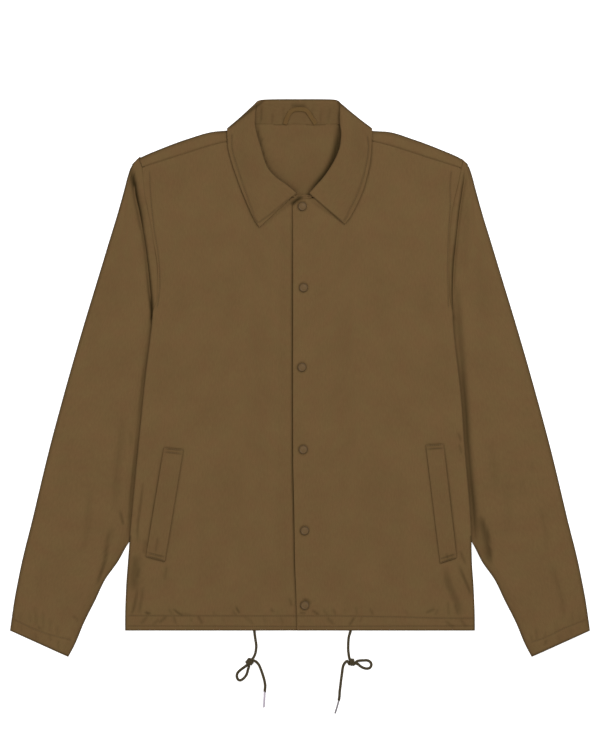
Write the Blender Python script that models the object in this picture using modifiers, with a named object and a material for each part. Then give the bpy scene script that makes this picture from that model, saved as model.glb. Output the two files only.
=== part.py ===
"""A coach jacket laid flat on its back, fastened, with its collar towards +Y.

The garment rests on z = 0, its centre front is near x = 0, and the wearer's left is at +X.
Every cloth piece is an open sheet, worked out from the tables below and then made 1.2 mm thick.
Sizes in the tables are millimetres.
"""
import math

import bpy
from mathutils import Vector

MM = 0.001
WALL = 1.2
SLEEVE_WALL = 1.0
GAP = 0.3
COLLECTION = "coach_jacket"

# Heights of the middle of each cloth layer
FLOOR_LAYER = WALL / 2
SLEEVE_FLOOR = SLEEVE_WALL / 2
TOP_CENTRE = 4.7
TOP_SIDE = 5.7
SLEEVE_TOP = 4.2
SLEEVE_EDGE_TOP = 2.1
BACK_SHELF = 3.6
RAISED_BACK = 2.3
UNDER_PLACKET = 2.9
PLACKET_LAYER = 5.0

# Body: hem, underarm and the lie of the front opening
HEM_Y = -361.2
UNDERARM_Y = 96.0
SHOULDER_END_Y = 309.5
FRONT_SIDE_TOP_Y = 299.5
NECK_CORNER_X = 80.3
ROLL_WIDTH = 3.5
ROLL_DROP = 0.85

# Body edge that lies over each sleeve, and the armhole seam inside it, both from the centre line
SIDE_COLUMNS = ("y", "fold", "seam")
SIDE_LEFT = (
    (-362, 249.7, 249.7), (-317, 249.2, 249.2), (-289, 247.0, 247.0), (-260, 245.4, 245.4),
    (-222, 244.6, 244.6), (-167, 241.2, 241.2), (-112, 236.0, 236.0), (-30, 230.4, 230.4),
    (7, 226.4, 226.4), (41, 222.2, 222.2), (76, 219.0, 219.0), (93, 217.8, 217.8),
    (99, 217.6, 216.9), (108, 217.2, 215.0), (121, 217.2, 213.8), (155, 218.2, 213.6),
    (195, 221.8, 213.6), (235, 226.2, 216.6), (270, 231.2, 224.0), (302, 235.6, 231.0),
    (312, 236.4, 232.6),
)
SIDE_RIGHT = (
    (-362, 249.7, 249.7), (-317, 249.4, 249.4), (-289, 247.4, 247.4), (-260, 245.4, 245.4),
    (-222, 242.6, 242.6), (-167, 237.6, 237.6), (-112, 232.4, 232.4), (-30, 224.2, 224.2),
    (7, 220.4, 220.4), (41, 216.0, 216.0), (76, 211.8, 211.8), (93, 210.4, 210.4),
    (99, 210.4, 209.0), (108, 210.8, 205.4), (121, 212.2, 203.6), (155, 215.6, 203.6),
    (195, 220.4, 209.2), (235, 227.8, 216.2), (270, 234.4, 222.8), (302, 237.6, 225.8),
    (312, 236.8, 229.6),
)

# Sleeve: outer edge, and how far the inner edge is tucked under the body's edge
SLEEVE_OUTER = (
    (-361.8, 414.6), (-346, 412.4), (-317.5, 408.2), (-260, 396.8), (-203, 382.6), (-146, 369.2),
    (-88.7, 355.0), (-31.5, 339.6), (25.7, 323.6), (83, 306.8), (140, 289.4), (197, 272.2),
    (254.5, 254.8), (283, 247.6), (300, 242.2), (309.5, 237.0),
)
SLEEVE_TUCK = (
    (-399, -82.3), (-386, -75.0), (-369, -67.8), (-346, -58.0), (-317.5, -43.8), (-289, -32.2),
    (-262, -15.0), (-240, -4.4), (-222, 5.6), (-200, 12.0), (-167, 13.0), (-112, 11.0),
    (-60, 9.0), (0, 7.0), (50, 5.0), (78, -1.8), (93, -1.8), (99, -1.8),
)
CUFF_INNER_Y = -398.87
CUFF_OUTER_Y = -361.4
STRAIGHT_SECTIONS_ABOVE = -90.0

# Rows that body and sleeves share, from the hem to the shoulder
ROWS = (
    HEM_Y, -346, -300, -262, -240, -222, -190, -140, -90, -40, 10, 50, 78, 93, 99, 108, 121, 155,
    195, 235, 270, 286,
)
LOWER_SLEEVE_ROWS = (CUFF_INNER_Y, -380, -350, -318, -289, -262, -240, -222, -190, -140)

# Shoulder: silhouette and forward seam as heights over x, front neckline, back neckline
SHOULDER_EDGE = (
    (78, 364.2), (90, 359.4), (98, 355.2), (106, 352.6), (116, 352.4), (131.6, 350.6),
    (157, 342.4), (181.6, 334.0), (203, 325.4), (223, 316.8), (233, 311.6),
)
FORWARD_SEAM = (
    (80, 343.6), (103, 338.4), (126, 332.8), (154, 324.0), (186, 314.0), (228, 300.6),
    (236, 298.4),
)
FRONT_NECK = (
    (-12, 257.0), (14, 257.0), (19, 257.4), (34, 264.6), (47, 275.2), (61, 291.0), (71, 309.0),
    (77.4, 326.0), (80, 343.0),
)
BACK_NECK = ((-64, 361.2), (0, 361.2), (64, 361.2), (72, 361.6), (NECK_CORNER_X, 362.9))

# Collar: a station a row, its neck edge, the middle of its roll, its outer edge, how far the
# roll has turned over, in degrees, and the heights of the three
COLLAR_COLUMNS = ("neck", "roll", "edge", "turn", "neck_z", "roll_z", "edge_z")
COLLAR_LEFT = (
    ((0, 361.7), (0, 397.4), (0, 340), 0, 2.3, 1.74, 0.6),
    ((26, 361.7), (24, 397.4), (34, 340), 0, 2.3, 1.74, 0.6),
    ((48, 361.8), (42, 397.2), (64, 341), 0, 2.3, 1.74, 0.6),
    ((60, 362.0), (50.4, 396.6), (86, 344.6), 12, 2.3, 1.9, 0.6),
    ((67, 362.4), (54.4, 395.0), (99.6, 353.0), 38, 2.4, 2.5, 0.6),
    ((72, 363.0), (56.8, 392.6), (101.9, 356.0), 64, 2.6, 3.3, 1.65),
    ((75.4, 363.8), (57.8, 389.8), (102.7, 356.9), 90, 3.0, 4.2, 4.2),
    ((77.8, 363.4), (58.0, 386.6), (102.9, 355.6), 116, 3.6, 5.0, 6.7),
    ((79.0, 361.0), (58.0, 382.8), (103.2, 352.8), 142, 4.5, 5.8, 7.7),
    ((79.5, 356.0), (57.9, 377.0), (103.3, 348.0), 168, 5.5, 6.6, 7.8),
    ((79.5, 349.6), (58.0, 367.0), (102.6, 339.0), 180, 5.7, 6.9, 7.5),
    ((79.0, 341.0), (60.0, 350.0), (101.8, 325.0), 180, 5.6, 6.9, 7.4),
    ((76.4, 326.0), (58.9, 334.6), (100.4, 311.0), 180, 5.5, 6.8, 7.3),
    ((70.0, 309.0), (53.7, 317.8), (96.4, 290.0), 180, 5.4, 6.7, 7.2),
    ((60.0, 291.2), (44.4, 300.4), (90.4, 268.4), 180, 5.3, 6.6, 7.1),
    ((45.8, 276.2), (32.8, 284.2), (80.6, 246.0), 180, 5.2, 6.5, 6.9),
    ((33.4, 265.4), (23.0, 273.4), (71.6, 229.4), 180, 5.1, 6.4, 6.8),
    ((18.6, 258.2), (14.0, 263.6), (64.0, 219.8), 180, 5.1, 6.3, 6.8),
)
COLLAR_RIGHT = (
    ((60, 362.0), (54.4, 396.6), (86, 344.6), 12, 2.3, 1.9, 0.6),
    ((67, 362.4), (59.6, 395.2), (99.6, 353.0), 38, 2.4, 2.5, 0.6),
    ((72, 363.0), (62.4, 392.6), (102.4, 356.4), 64, 2.6, 3.3, 1.65),
    ((75.4, 363.8), (63.6, 389.4), (103.6, 357.2), 90, 3.0, 4.2, 4.2),
    ((77.8, 363.4), (64.2, 385.8), (104.0, 356.0), 116, 3.6, 5.0, 6.7),
    ((79.0, 361.0), (64.8, 381.4), (104.3, 353.4), 142, 4.5, 5.8, 7.7),
    ((79.5, 356.0), (65.2, 375.0), (104.3, 348.6), 168, 5.5, 6.6, 7.8),
    ((79.5, 349.6), (65.6, 364.0), (103.8, 339.6), 180, 5.7, 6.9, 7.5),
    ((79.0, 341.0), (63.2, 350.4), (103.0, 330.0), 180, 5.6, 6.9, 7.4),
    ((76.4, 326.0), (57.6, 331.0), (99.4, 314.0), 180, 5.5, 6.8, 7.3),
    ((70.0, 309.0), (52.0, 311.4), (93.8, 296.0), 180, 5.4, 6.7, 7.2),
    ((60.0, 291.2), (46.0, 298.2), (84.6, 270.6), 180, 5.3, 6.6, 7.1),
    ((45.8, 276.2), (34.8, 286.2), (73.0, 243.0), 180, 5.2, 6.5, 6.9),
    ((26.0, 261.8), (20.6, 276.0), (65.0, 225.6), 180, 5.1, 6.5, 6.9),
    ((8.0, 258.6), (6.0, 264.0), (58.2, 215.0), 180, 5.1, 6.6, 6.9),
)
ROLL_RADIUS = 1.1

# Columns of the back between its edge columns, as shares of its half width
BACK_SHARES = (0.76, 0.575, 0.487, 0.3765, 0.300, 0.150)

# Placket edge: how far the upper front runs past the centre line, over y
PLACKET_EDGE = (
    (HEM_Y, -4.0), (-312, -5.2), (-270, -6.9), (-186, -8.3), (-111, -9.8), (183, -9.9), (260, -10.4),
)

# Columns of the fronts where they meet neckline and shoulder, and those along the side edge
FRONT_LEFT_COLUMNS = (
    -10.4, -2.0, 7.0, 19.0, 34.0, 47.0, 61.0, 71.0, 77.4, 80.3, 103.0, 128.0, 157.0, 190.0,
)
FRONT_RIGHT_COLUMNS = (
    -17.0, -6.0, 4.0, 19.0, 34.0, 47.0, 61.0, 71.0, 77.4, 80.3, 103.0, 128.0, 157.0, 190.0,
)
FRONT_INSETS = (14.0, 7.0, 3.5, 1.6, 0.6, 0.0)

SNAP_PLACES = (
    (3.4, 245.5), (5.1, 129.3), (2.9, 15.4), (4.6, -102.2), (6.7, -218.2), (6.9, -325.0),
)
SNAP_RADIUS = 6.3
SNAP_HEIGHT = 2.2

# Welts, corner by corner: upper inner, upper outer, lower outer, lower inner
WELT_LEFT = ((179.8, -95.6), (205.0, -94.0), (224.0, -257.4), (200.4, -265.0))
WELT_RIGHT = ((166.6, -102.2), (194.6, -99.4), (220.4, -255.4), (193.2, -262.4))
WELT_WALL = 1.0
WELT_ROWS = 13
WELT_COLUMNS_ACROSS = 3

HANGER_PATH = (
    (-21.6, 362.6), (-16.6, 373.0), (-10.6, 379.6), (-2.0, 382.2), (7.0, 381.0), (13.6, 374.6),
    (21.0, 362.6),
)
TAPE_WIDTH = 6.2
TAPE_WALL = 1.0

# Drawcord: each free end as a stem, a loop, a tail with a clear tip, and the knot that holds them
CORD_DIAMETER = 4.0
CORD_SIDES_RESOLUTION = 2
CORD_STEP = 9.0
KNOT_RADII = (5.6, 5.0, 3.6)
TIP_LENGTH = 15.0
TIP_DIAMETER = 4.2
STEM_RIGHT = ((-65.4, -361.6), (-63.4, -374.0), (-62.4, -386.0), (-64.6, -396.5), (-68.2, -401.2))
LOOP_RIGHT = (
    (-76.0, -409.6), (-82.0, -415.4), (-88.0, -421.2), (-90.2, -425.4), (-87.0, -431.0),
    (-81.4, -429.8), (-75.4, -421.6), (-73.2, -411.6),
)
TAIL_RIGHT = (
    (-65.6, -408.6), (-60.4, -409.4), (-56.6, -417.0), (-53.4, -430.0), (-51.0, -440.0),
    (-50.4, -452.4),
)
STEM_LEFT = ((72.6, -361.6), (69.4, -380.0), (69.8, -391.0), (72.4, -399.4), (73.6, -400.6))
LOOP_LEFT = (
    (81.2, -404.6), (88.8, -403.4), (97.6, -403.8), (102.2, -409.0), (98.6, -415.6),
    (91.4, -415.2), (82.6, -410.0),
)
TAIL_LEFT = (
    (68.4, -405.0), (62.4, -410.4), (59.6, -422.0), (57.8, -440.0), (56.2, -452.0),
    (54.6, -463.0),
)
KNOT_RIGHT = (-71.0, -406.2)
KNOT_LEFT = (75.2, -405.8)


def row_values(table, column):
    """The (first column, named column) pairs of a side table."""
    index = SIDE_COLUMNS.index(column)
    return [(row[0], row[index]) for row in table]


def smooth(points, at):
    """Read a smooth curve through (position, value) points, held level past its ends."""
    if at <= points[0][0]:
        return points[0][1]
    if at >= points[-1][0]:
        return points[-1][1]
    index = 0
    while points[index + 1][0] < at:
        index += 1
    start, end = points[index], points[index + 1]
    before = points[max(index - 1, 0)]
    after = points[min(index + 2, len(points) - 1)]
    span = end[0] - start[0]
    slope_start = (end[1] - before[1]) / (end[0] - before[0])
    slope_end = (after[1] - start[1]) / (after[0] - start[0])
    t = (at - start[0]) / span
    return (
        (2 * t ** 3 - 3 * t ** 2 + 1) * start[1]
        + (t ** 3 - 2 * t ** 2 + t) * span * slope_start
        + (3 * t ** 2 - 2 * t ** 3) * end[1]
        + (t ** 3 - t ** 2) * span * slope_end
    )


def straight(points, at):
    """Read a broken line through (position, value) points, held level past its ends."""
    if at <= points[0][0]:
        return points[0][1]
    for start, end in zip(points, points[1:]):
        if at <= end[0]:
            return start[1] + (end[1] - start[1]) * (at - start[0]) / (end[0] - start[0])
    return points[-1][1]


def mix(start, end, t):
    return start + (end - start) * t


def ease(t):
    """Rise from 0 to 1 with level ends."""
    t = min(max(t, 0.0), 1.0)
    return t * t * (3 - 2 * t)


def curve_points(points, step):
    """Evenly spaced points on a smooth curve through flat points."""
    dense = []
    count = len(points)
    for index in range(count - 1):
        before = Vector(points[max(index - 1, 0)])
        start = Vector(points[index])
        end = Vector(points[index + 1])
        after = Vector(points[min(index + 2, count - 1)])
        for part in range(12):
            t = part / 12
            dense.append(0.5 * (
                2 * start + (end - before) * t
                + (2 * before - 5 * start + 4 * end - after) * t ** 2
                + (3 * start - before - 3 * end + after) * t ** 3
            ))
    dense.append(Vector(points[-1]))
    lengths = [0.0]
    for start, end in zip(dense, dense[1:]):
        lengths.append(lengths[-1] + (end - start).length)
    pieces = max(2, round(lengths[-1] / step))
    result = []
    index = 0
    for piece in range(pieces + 1):
        target = lengths[-1] * piece / pieces
        while index < len(dense) - 2 and lengths[index + 1] < target:
            index += 1
        span = lengths[index + 1] - lengths[index]
        result.append(dense[index].lerp(dense[index + 1], (target - lengths[index]) / span))
    return result


class Side:
    """One side of the body: its sign along X and its edges as functions of height."""

    def __init__(self, sign, table):
        self.sign = sign
        self.fold_points = row_values(table, "fold")
        self.seam_points = row_values(table, "seam")

    def fold(self, y):
        return smooth(self.fold_points, y)

    def seam(self, y):
        return min(smooth(self.seam_points, y), self.fold(y))

    def tuck(self, y):
        return smooth(SLEEVE_TUCK, y)


LEFT = Side(1, SIDE_LEFT)
RIGHT = Side(-1, SIDE_RIGHT)


def top_level(x):
    """Height of the upper layer away from its edges: the garment is fuller at its sides."""
    return mix(TOP_CENTRE, TOP_SIDE, ease(abs(x) / 150))


def top_height(side, x, y):
    """Height of the body's upper layer, rolled down along the folded side edge."""
    inside = side.fold(y) - abs(x)
    level = top_level(x)
    if inside >= ROLL_WIDTH:
        return level
    reach = 1 - max(inside, 0.0) / ROLL_WIDTH
    return level - ROLL_DROP * (1 - math.sqrt(1 - reach * reach))


def make_material(name, colour, roughness, metallic=0.0):
    material = bpy.data.materials.new(name)
    material.use_nodes = True
    shader = material.node_tree.nodes["Principled BSDF"]
    shader.inputs["Base Color"].default_value = (*colour, 1.0)
    shader.inputs["Roughness"].default_value = roughness
    shader.inputs["Metallic"].default_value = metallic
    return material


CLOTH_COLOUR = (0.146, 0.086, 0.033)
TAPE_COLOUR = (0.120, 0.072, 0.030)
SNAP_COLOUR = (0.170, 0.127, 0.075)
CORD_COLOUR = (0.071, 0.050, 0.027)
TIP_COLOUR = (0.62, 0.60, 0.68)


def add_mesh_object(name, points, faces, material):
    mesh = bpy.data.meshes.new(name)
    mesh.from_pydata([tuple(value * MM for value in point) for point in points], [], faces)
    mesh.materials.append(material)
    thing = bpy.data.objects.new(name, mesh)
    bpy.data.collections[COLLECTION].objects.link(thing)
    return thing


def add_sheet(name, rows, wall, material):
    """Make a cloth wall on a grid of points; a place without a point is None."""
    points = []
    numbers = {}
    for i, row in enumerate(rows):
        for j, point in enumerate(row):
            if point is not None:
                numbers[i, j] = len(points)
                points.append(point)
    faces = []
    for i in range(len(rows) - 1):
        for j in range(len(rows[i]) - 1):
            corners = [(i, j), (i, j + 1), (i + 1, j + 1), (i + 1, j)]
            if all(corner in numbers for corner in corners):
                faces.append([numbers[corner] for corner in corners])
    thing = add_mesh_object(name, points, faces, material)
    thing.data.shade_smooth()
    solidify = thing.modifiers.new("wall", "SOLIDIFY")
    solidify.thickness = wall * MM
    solidify.offset = 0.0
    solidify.use_quality_normals = True
    return thing


def column_heights(rows, last, top):
    """Spread the shared rows, which end at last, over a column that ends at top."""
    scale = (top - HEM_Y) / (last - HEM_Y)
    return [HEM_Y + (y - HEM_Y) * scale for y in rows + (last,)]


def raised_floor(x, y):
    """Height of the back panel away from its sides: it rides over the collar's hidden fall."""
    along = ease((y - 306) / 22)
    across = 1 - ease((abs(x) - 110) / 30)
    return mix(FLOOR_LAYER, RAISED_BACK, along * across)


def back_height(side, inside, x, y):
    """Height of the back panel at a distance inside its edge."""
    floor = raised_floor(x, y)
    if y > UNDERARM_Y:
        crest = mix(2.2, floor, ease((y - 99) / 22))
        return mix(crest, floor, ease(inside / 7))
    if y > -245:
        shelf = max(side.tuck(y), 0.0) + 2.0
        if inside <= shelf:
            return straight(((0.0, 3.8), (0.6, 3.62), (1.6, BACK_SHELF), (40.0, BACK_SHELF)), inside)
        return mix(BACK_SHELF, floor, ease((inside - shelf) / 8.0))
    return straight(((0.0, 2.9), (0.4, 1.7), (1.5, 0.95), (3.5, floor)), inside)


def back_edge(side, y):
    """The back's outer edge: the side seam below the underarm, the armhole seam above it."""
    if y <= UNDERARM_Y:
        return side.fold(y)
    return side.seam(y) - mix(0.9, 0.0, ease((y - 99) / 12))


def back_insets(side, y):
    """Distances from the back's edge to its outermost columns, widest first."""
    if -245 < y <= UNDERARM_Y:
        shelf = max(side.tuck(y), 0.0) + 2.0
        return (shelf + 8.0, shelf + 4.0, shelf, 1.6, 0.6, 0.0)
    return (18.0, 12.0, 6.0, 3.5, 1.5, 0.0) if y > UNDERARM_Y else (12.0, 6.0, 3.5, 1.5, 0.4, 0.0)


def make_back(material):
    insets = range(len(back_insets(LEFT, 0.0)))
    columns = [back_column(RIGHT, inset, None) for inset in reversed(insets)]
    columns += [back_column(RIGHT, None, share) for share in BACK_SHARES]
    columns.append(back_column(LEFT, None, 0.0))
    columns += [back_column(LEFT, None, share) for share in reversed(BACK_SHARES)]
    columns += [back_column(LEFT, inset, None) for inset in insets]
    height = max(len(column) for column in columns)
    rows = [
        [column[level] if level < len(column) else None for column in columns]
        for level in range(height)
    ]
    return add_sheet("back", rows, WALL, material)


def back_column(side, inset_index, fraction):
    """Points of one column of the back, from the hem up and over the shoulder edge."""
    widest = back_insets(side, SHOULDER_END_Y)[0]
    shoulder_width = back_edge(side, SHOULDER_END_Y)
    if inset_index is None:
        x_top = fraction * (shoulder_width - widest)
    else:
        x_top = shoulder_width - back_insets(side, SHOULDER_END_Y)[inset_index]
    wraps = x_top > NECK_CORNER_X - 1
    radius = (top_level(x_top) - raised_floor(x_top, 360)) / 2
    if wraps:
        top = smooth(SHOULDER_EDGE, x_top) - radius
    else:
        top = smooth(BACK_NECK, x_top)
    points = []
    for y in column_heights(ROWS + (FRONT_SIDE_TOP_Y,), SHOULDER_END_Y, top):
        edge = back_edge(side, y)
        insets = back_insets(side, y)
        if inset_index is None:
            across = fraction * (edge - insets[0])
        else:
            across = edge - insets[inset_index]
        z = back_height(side, edge - across, across, y)
        points.append((side.sign * across, y, z))
    if wraps:
        low = points[-1][2]
        high = top_height(side, across, top)
        for angle in (45, 90, 135, 180):
            turn = math.radians(angle)
            lift = (1 - math.cos(turn)) / 2
            points.append((side.sign * across, top + radius * math.sin(turn), mix(low, high, lift)))
        seam = smooth(FORWARD_SEAM, across) + GAP
        if inset_index is not None:
            across_seam = back_edge(side, seam) - back_insets(side, seam)[inset_index]
            seam = smooth(FORWARD_SEAM, across_seam) + GAP
        for y in (mix(top, seam, 0.5), seam):
            if inset_index is not None:
                across = back_edge(side, y) - back_insets(side, y)[inset_index]
            points.append((side.sign * across, y, high))
    return points


def front_top(x):
    """Upper edge of a front at a distance past the centre line: neckline, then shoulder seam."""
    if x < NECK_CORNER_X:
        return straight(FRONT_NECK, x)
    return smooth(FORWARD_SEAM, x) - GAP


def front_height(side, x, y):
    """Height of a front panel; under the placket the lower front dips."""
    out = side.sign * x
    level = top_height(side, x, y)
    if side is LEFT:
        rise = 1 - ease((out + 2) / 24)
        return mix(level, PLACKET_LAYER, rise)
    dip = ease((out + 34) / 20)
    return mix(level, UNDER_PLACKET, dip)


def make_front(name, side, material):
    """A front panel, in columns from its centre edge out to the side and armhole seam."""
    places = FRONT_LEFT_COLUMNS if side is LEFT else FRONT_RIGHT_COLUMNS
    inner_width = side.seam(FRONT_SIDE_TOP_Y) - FRONT_INSETS[0]
    columns = [(place, None) for place in places]
    columns += [(side.seam(FRONT_SIDE_TOP_Y) - inset, inset) for inset in FRONT_INSETS]
    grid = []
    for x_top, inset in columns:
        column = []
        top = front_top(x_top)
        share = (x_top - places[0]) / (inner_width - places[0])
        lean = share * (side.seam(FRONT_SIDE_TOP_Y) - side.seam(min(top, FRONT_SIDE_TOP_Y)))
        for y in column_heights(ROWS, FRONT_SIDE_TOP_Y, top):
            centre = smooth(PLACKET_EDGE, y) if side is LEFT else places[0]
            edge = side.seam(min(y, FRONT_SIDE_TOP_Y))
            if inset is None:
                x = mix(centre, edge - FRONT_INSETS[0], share)
                x += lean * (y - HEM_Y) / (top - HEM_Y)
            else:
                x = edge - inset
            column.append((side.sign * x, y, front_height(side, x, y)))
        grid.append(column)
    rows = [[column[level] for column in grid] for level in range(len(grid[0]))]
    return add_sheet(name, rows, WALL, material)


def sleeve_sections(side):
    """Inner and outer height of each section, from the shoulder to the cuff."""
    sections = [(SHOULDER_END_Y, SHOULDER_END_Y), (FRONT_SIDE_TOP_Y, FRONT_SIDE_TOP_Y)]
    for y in reversed(ROWS):
        if y >= STRAIGHT_SECTIONS_ABOVE:
            sections.append((y, y))
    scale = (STRAIGHT_SECTIONS_ABOVE - CUFF_OUTER_Y) / (STRAIGHT_SECTIONS_ABOVE - CUFF_INNER_Y)
    for y in reversed(LOWER_SLEEVE_ROWS):
        sections.append((y, STRAIGHT_SECTIONS_ABOVE + (y - STRAIGHT_SECTIONS_ABOVE) * scale))
    return sections


def sleeve_section(side, inner_y, outer_y):
    """Middle line of one section, from its lower inner edge out, round and back on top."""
    outer_x = smooth(SLEEVE_OUTER, outer_y)
    fold = min(side.fold(inner_y), outer_x - 3.2)
    open_section = inner_y > UNDERARM_Y
    tuck = 0.0 if open_section else side.tuck(inner_y)
    start = Vector((fold - tuck, inner_y, 0))
    end = Vector((outer_x, outer_y, 0))
    across = (end - start).normalized()
    width = (end - start).length
    fullness = 1.0
    if open_section:
        fullness = ease((SHOULDER_END_Y - inner_y) / 45)
    level = mix(TOP_SIDE, SLEEVE_TOP, fullness)
    curl = (level - SLEEVE_FLOOR) / 2
    room = width - curl
    if open_section:
        seam = side.seam(inner_y) - fold + GAP
        near = ease((inner_y - 99) / 22)
        crest = mix(2.2, SLEEVE_FLOOR, near)
        first = mix(0.4, seam, ease((inner_y - 99) / 12))
        reach = min(6.0, mix(first, room, 0.35))
        head = [
            (mix(first, reach, share), mix(crest, SLEEVE_FLOOR, ease(share))) for share in (0, 0.3, 0.6, 1)
        ]
        foot = mix(TOP_SIDE, mix(3.7, 3.0, near), fullness)
        rolled = mix(TOP_SIDE, top_height(side, fold, inner_y), fullness)
        valley = (
            (0.0, rolled), (0.9, mix(foot, rolled, 0.4)), (2.4, foot),
            (6.0, mix(foot, level, 0.55)), (14.0, level),
        )
        places = (14.0, 6.0, 2.4, 0.9, max(-0.4, mix(0.9, seam, 0.33)), max(-3.0, mix(0.9, seam, 0.66)), seam)
        tail = []
        for index, place in enumerate(places):
            even = mix(room, seam, (index + 1) / len(places))
            if place > 0:
                place *= min(1.0, room / 18)
            place = mix(even, place, ease((room - 4) / 16))
            if place > 0:
                z = straight(valley, place)
            else:
                z = mix(TOP_SIDE, top_height(side, fold + place, inner_y), fullness)
            tail.append((place, z))
    else:
        tall = ease((inner_y - 76) / 17)
        edge_top = mix(SLEEVE_EDGE_TOP, 4.0, tall)
        middle = (SLEEVE_FLOOR + edge_top) / 2
        clear = max(tuck, 0.0)
        head = [
            (0.0, middle - GAP), (0.06, mix(SLEEVE_FLOOR, middle, 0.3)),
            (0.8, SLEEVE_FLOOR), (6.0, SLEEVE_FLOOR),
        ]
        tail = [
            (clear + 15.0, level), (clear + 7.0, mix(edge_top, level, 0.6)),
            (clear + 2.6, mix(edge_top, level, 0.1)), (max(clear * 0.5, 1.9), edge_top),
            (0.8, edge_top - 0.02), (0.06, mix(middle, edge_top, 0.7)), (0.0, middle + GAP),
        ]
    body = [(mix(6.0, width - 30, 0.5), SLEEVE_FLOOR), (width - 16, SLEEVE_FLOOR)]
    back = [(width - 16, level), (mix(tail[0][0], width - 16, 0.5), level)]
    if width < 60:
        body = [(mix(head[-1][0], room, 0.4), SLEEVE_FLOOR), (mix(head[-1][0], room, 0.7), SLEEVE_FLOOR)]
        back = [(mix(tail[0][0], room, 0.7), level), (mix(tail[0][0], room, 0.4), level)]
    round_edge = []
    for angle in (0, 36, 72, 108, 144, 180):
        turn = math.radians(angle)
        round_edge.append((room + curl * math.sin(turn), SLEEVE_FLOOR + curl * (1 - math.cos(turn))))
    line = head + body + round_edge + back + tail
    points = []
    for distance, z in line:
        place = start + across * distance
        points.append((side.sign * place.x, place.y, z))
    return points


def make_sleeve(name, side, material):
    rows = [sleeve_section(side, inner_y, outer_y) for inner_y, outer_y in sleeve_sections(side)]
    return add_sheet(name, rows, SLEEVE_WALL, material)


def collar_section(station, sign, outward):
    """One section of the collar: up the stand, round the roll and down the fall."""
    row = dict(zip(COLLAR_COLUMNS, station))
    angle = math.radians(row["turn"])
    up = Vector((0, 0, 1))
    across = -math.cos(angle) * up + math.sin(angle) * outward
    crown = math.cos(angle) * outward + math.sin(angle) * up
    centre = Vector((*row["roll"], row["roll_z"]))
    stand_end = centre - across * ROLL_RADIUS
    fall_start = centre + across * ROLL_RADIUS
    neck_point = Vector((*row["neck"], row["neck_z"]))
    edge_point = Vector((*row["edge"], row["edge_z"]))
    points = [neck_point.lerp(stand_end, t) for t in (0.0, 0.35, 0.7, 1.0)]
    for degrees in (50, 90, 130):
        step = math.radians(degrees)
        points.append(centre + ROLL_RADIUS * (math.sin(step) * crown - math.cos(step) * across))
    points += [fall_start.lerp(edge_point, t) for t in (0.0, 0.12, 0.4, 0.7, 1.0)]
    return [(sign * point.x, point.y, point.z) for point in points]


def outward_directions(stations):
    """Level direction away from the neck at each station, square to the roll line."""
    roll = COLLAR_COLUMNS.index("roll")
    result = []
    for index in range(len(stations)):
        before = Vector(stations[max(index - 1, 0)][roll])
        after = Vector(stations[min(index + 1, len(stations) - 1)][roll])
        along = (after - before).normalized()
        result.append(Vector((-along.y, along.x, 0)))
    result[0] = Vector((0, 1, 0))
    return result


def make_collar(material):
    right_stations = COLLAR_LEFT[:3] + COLLAR_RIGHT
    left_rows = [
        collar_section(station, 1, outward)
        for station, outward in zip(COLLAR_LEFT, outward_directions(COLLAR_LEFT))
    ]
    right_rows = [
        collar_section(station, -1, outward)
        for station, outward in zip(right_stations, outward_directions(right_stations))
    ]
    return add_sheet("collar", right_rows[:0:-1] + left_rows, WALL, material)


def tape_height(point):
    """Height of the hanger tape, which lies on the collar's stand."""
    neck, roll = Vector(COLLAR_LEFT[0][0]), Vector(COLLAR_LEFT[0][1])
    share = (point.y - neck.y) / (roll.y - neck.y)
    stand = mix(COLLAR_LEFT[0][4], COLLAR_LEFT[0][5] + ROLL_RADIUS, share)
    return stand + WALL / 2 + GAP + TAPE_WALL / 2


def make_hanger_loop(material):
    """Flat tape in an arch over the back neck seam."""
    middle = curve_points(HANGER_PATH, 5.0)
    rows = []
    for index, point in enumerate(middle):
        before = middle[max(index - 1, 0)]
        after = middle[min(index + 1, len(middle) - 1)]
        along = (after - before).normalized()
        square = Vector((-along.y, along.x)) * TAPE_WIDTH / 2
        edges = (point + square, point, point - square)
        rows.append([(*edge, tape_height(edge)) for edge in edges])
    return add_sheet("hanger_loop", rows, TAPE_WALL, material)


def make_welt(name, side, corners, material):
    """A pocket welt, laid on its front panel's own surface and moved out from it."""
    upper_inner, upper_outer, lower_outer, lower_inner = [Vector(corner) for corner in corners]
    lift = WALL / 2 + GAP + WELT_WALL / 2
    rows = []
    for index in range(WELT_ROWS):
        t = index / (WELT_ROWS - 1)
        inner = lower_inner.lerp(upper_inner, t)
        outer = lower_outer.lerp(upper_outer, t)
        row = []
        for column in range(WELT_COLUMNS_ACROSS + 1):
            place = inner.lerp(outer, column / WELT_COLUMNS_ACROSS)
            z = front_height(side, place.x, place.y) + lift
            row.append((side.sign * place.x, place.y, z))
        rows.append(row)
    return add_sheet(name, rows, WELT_WALL, material)


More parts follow.
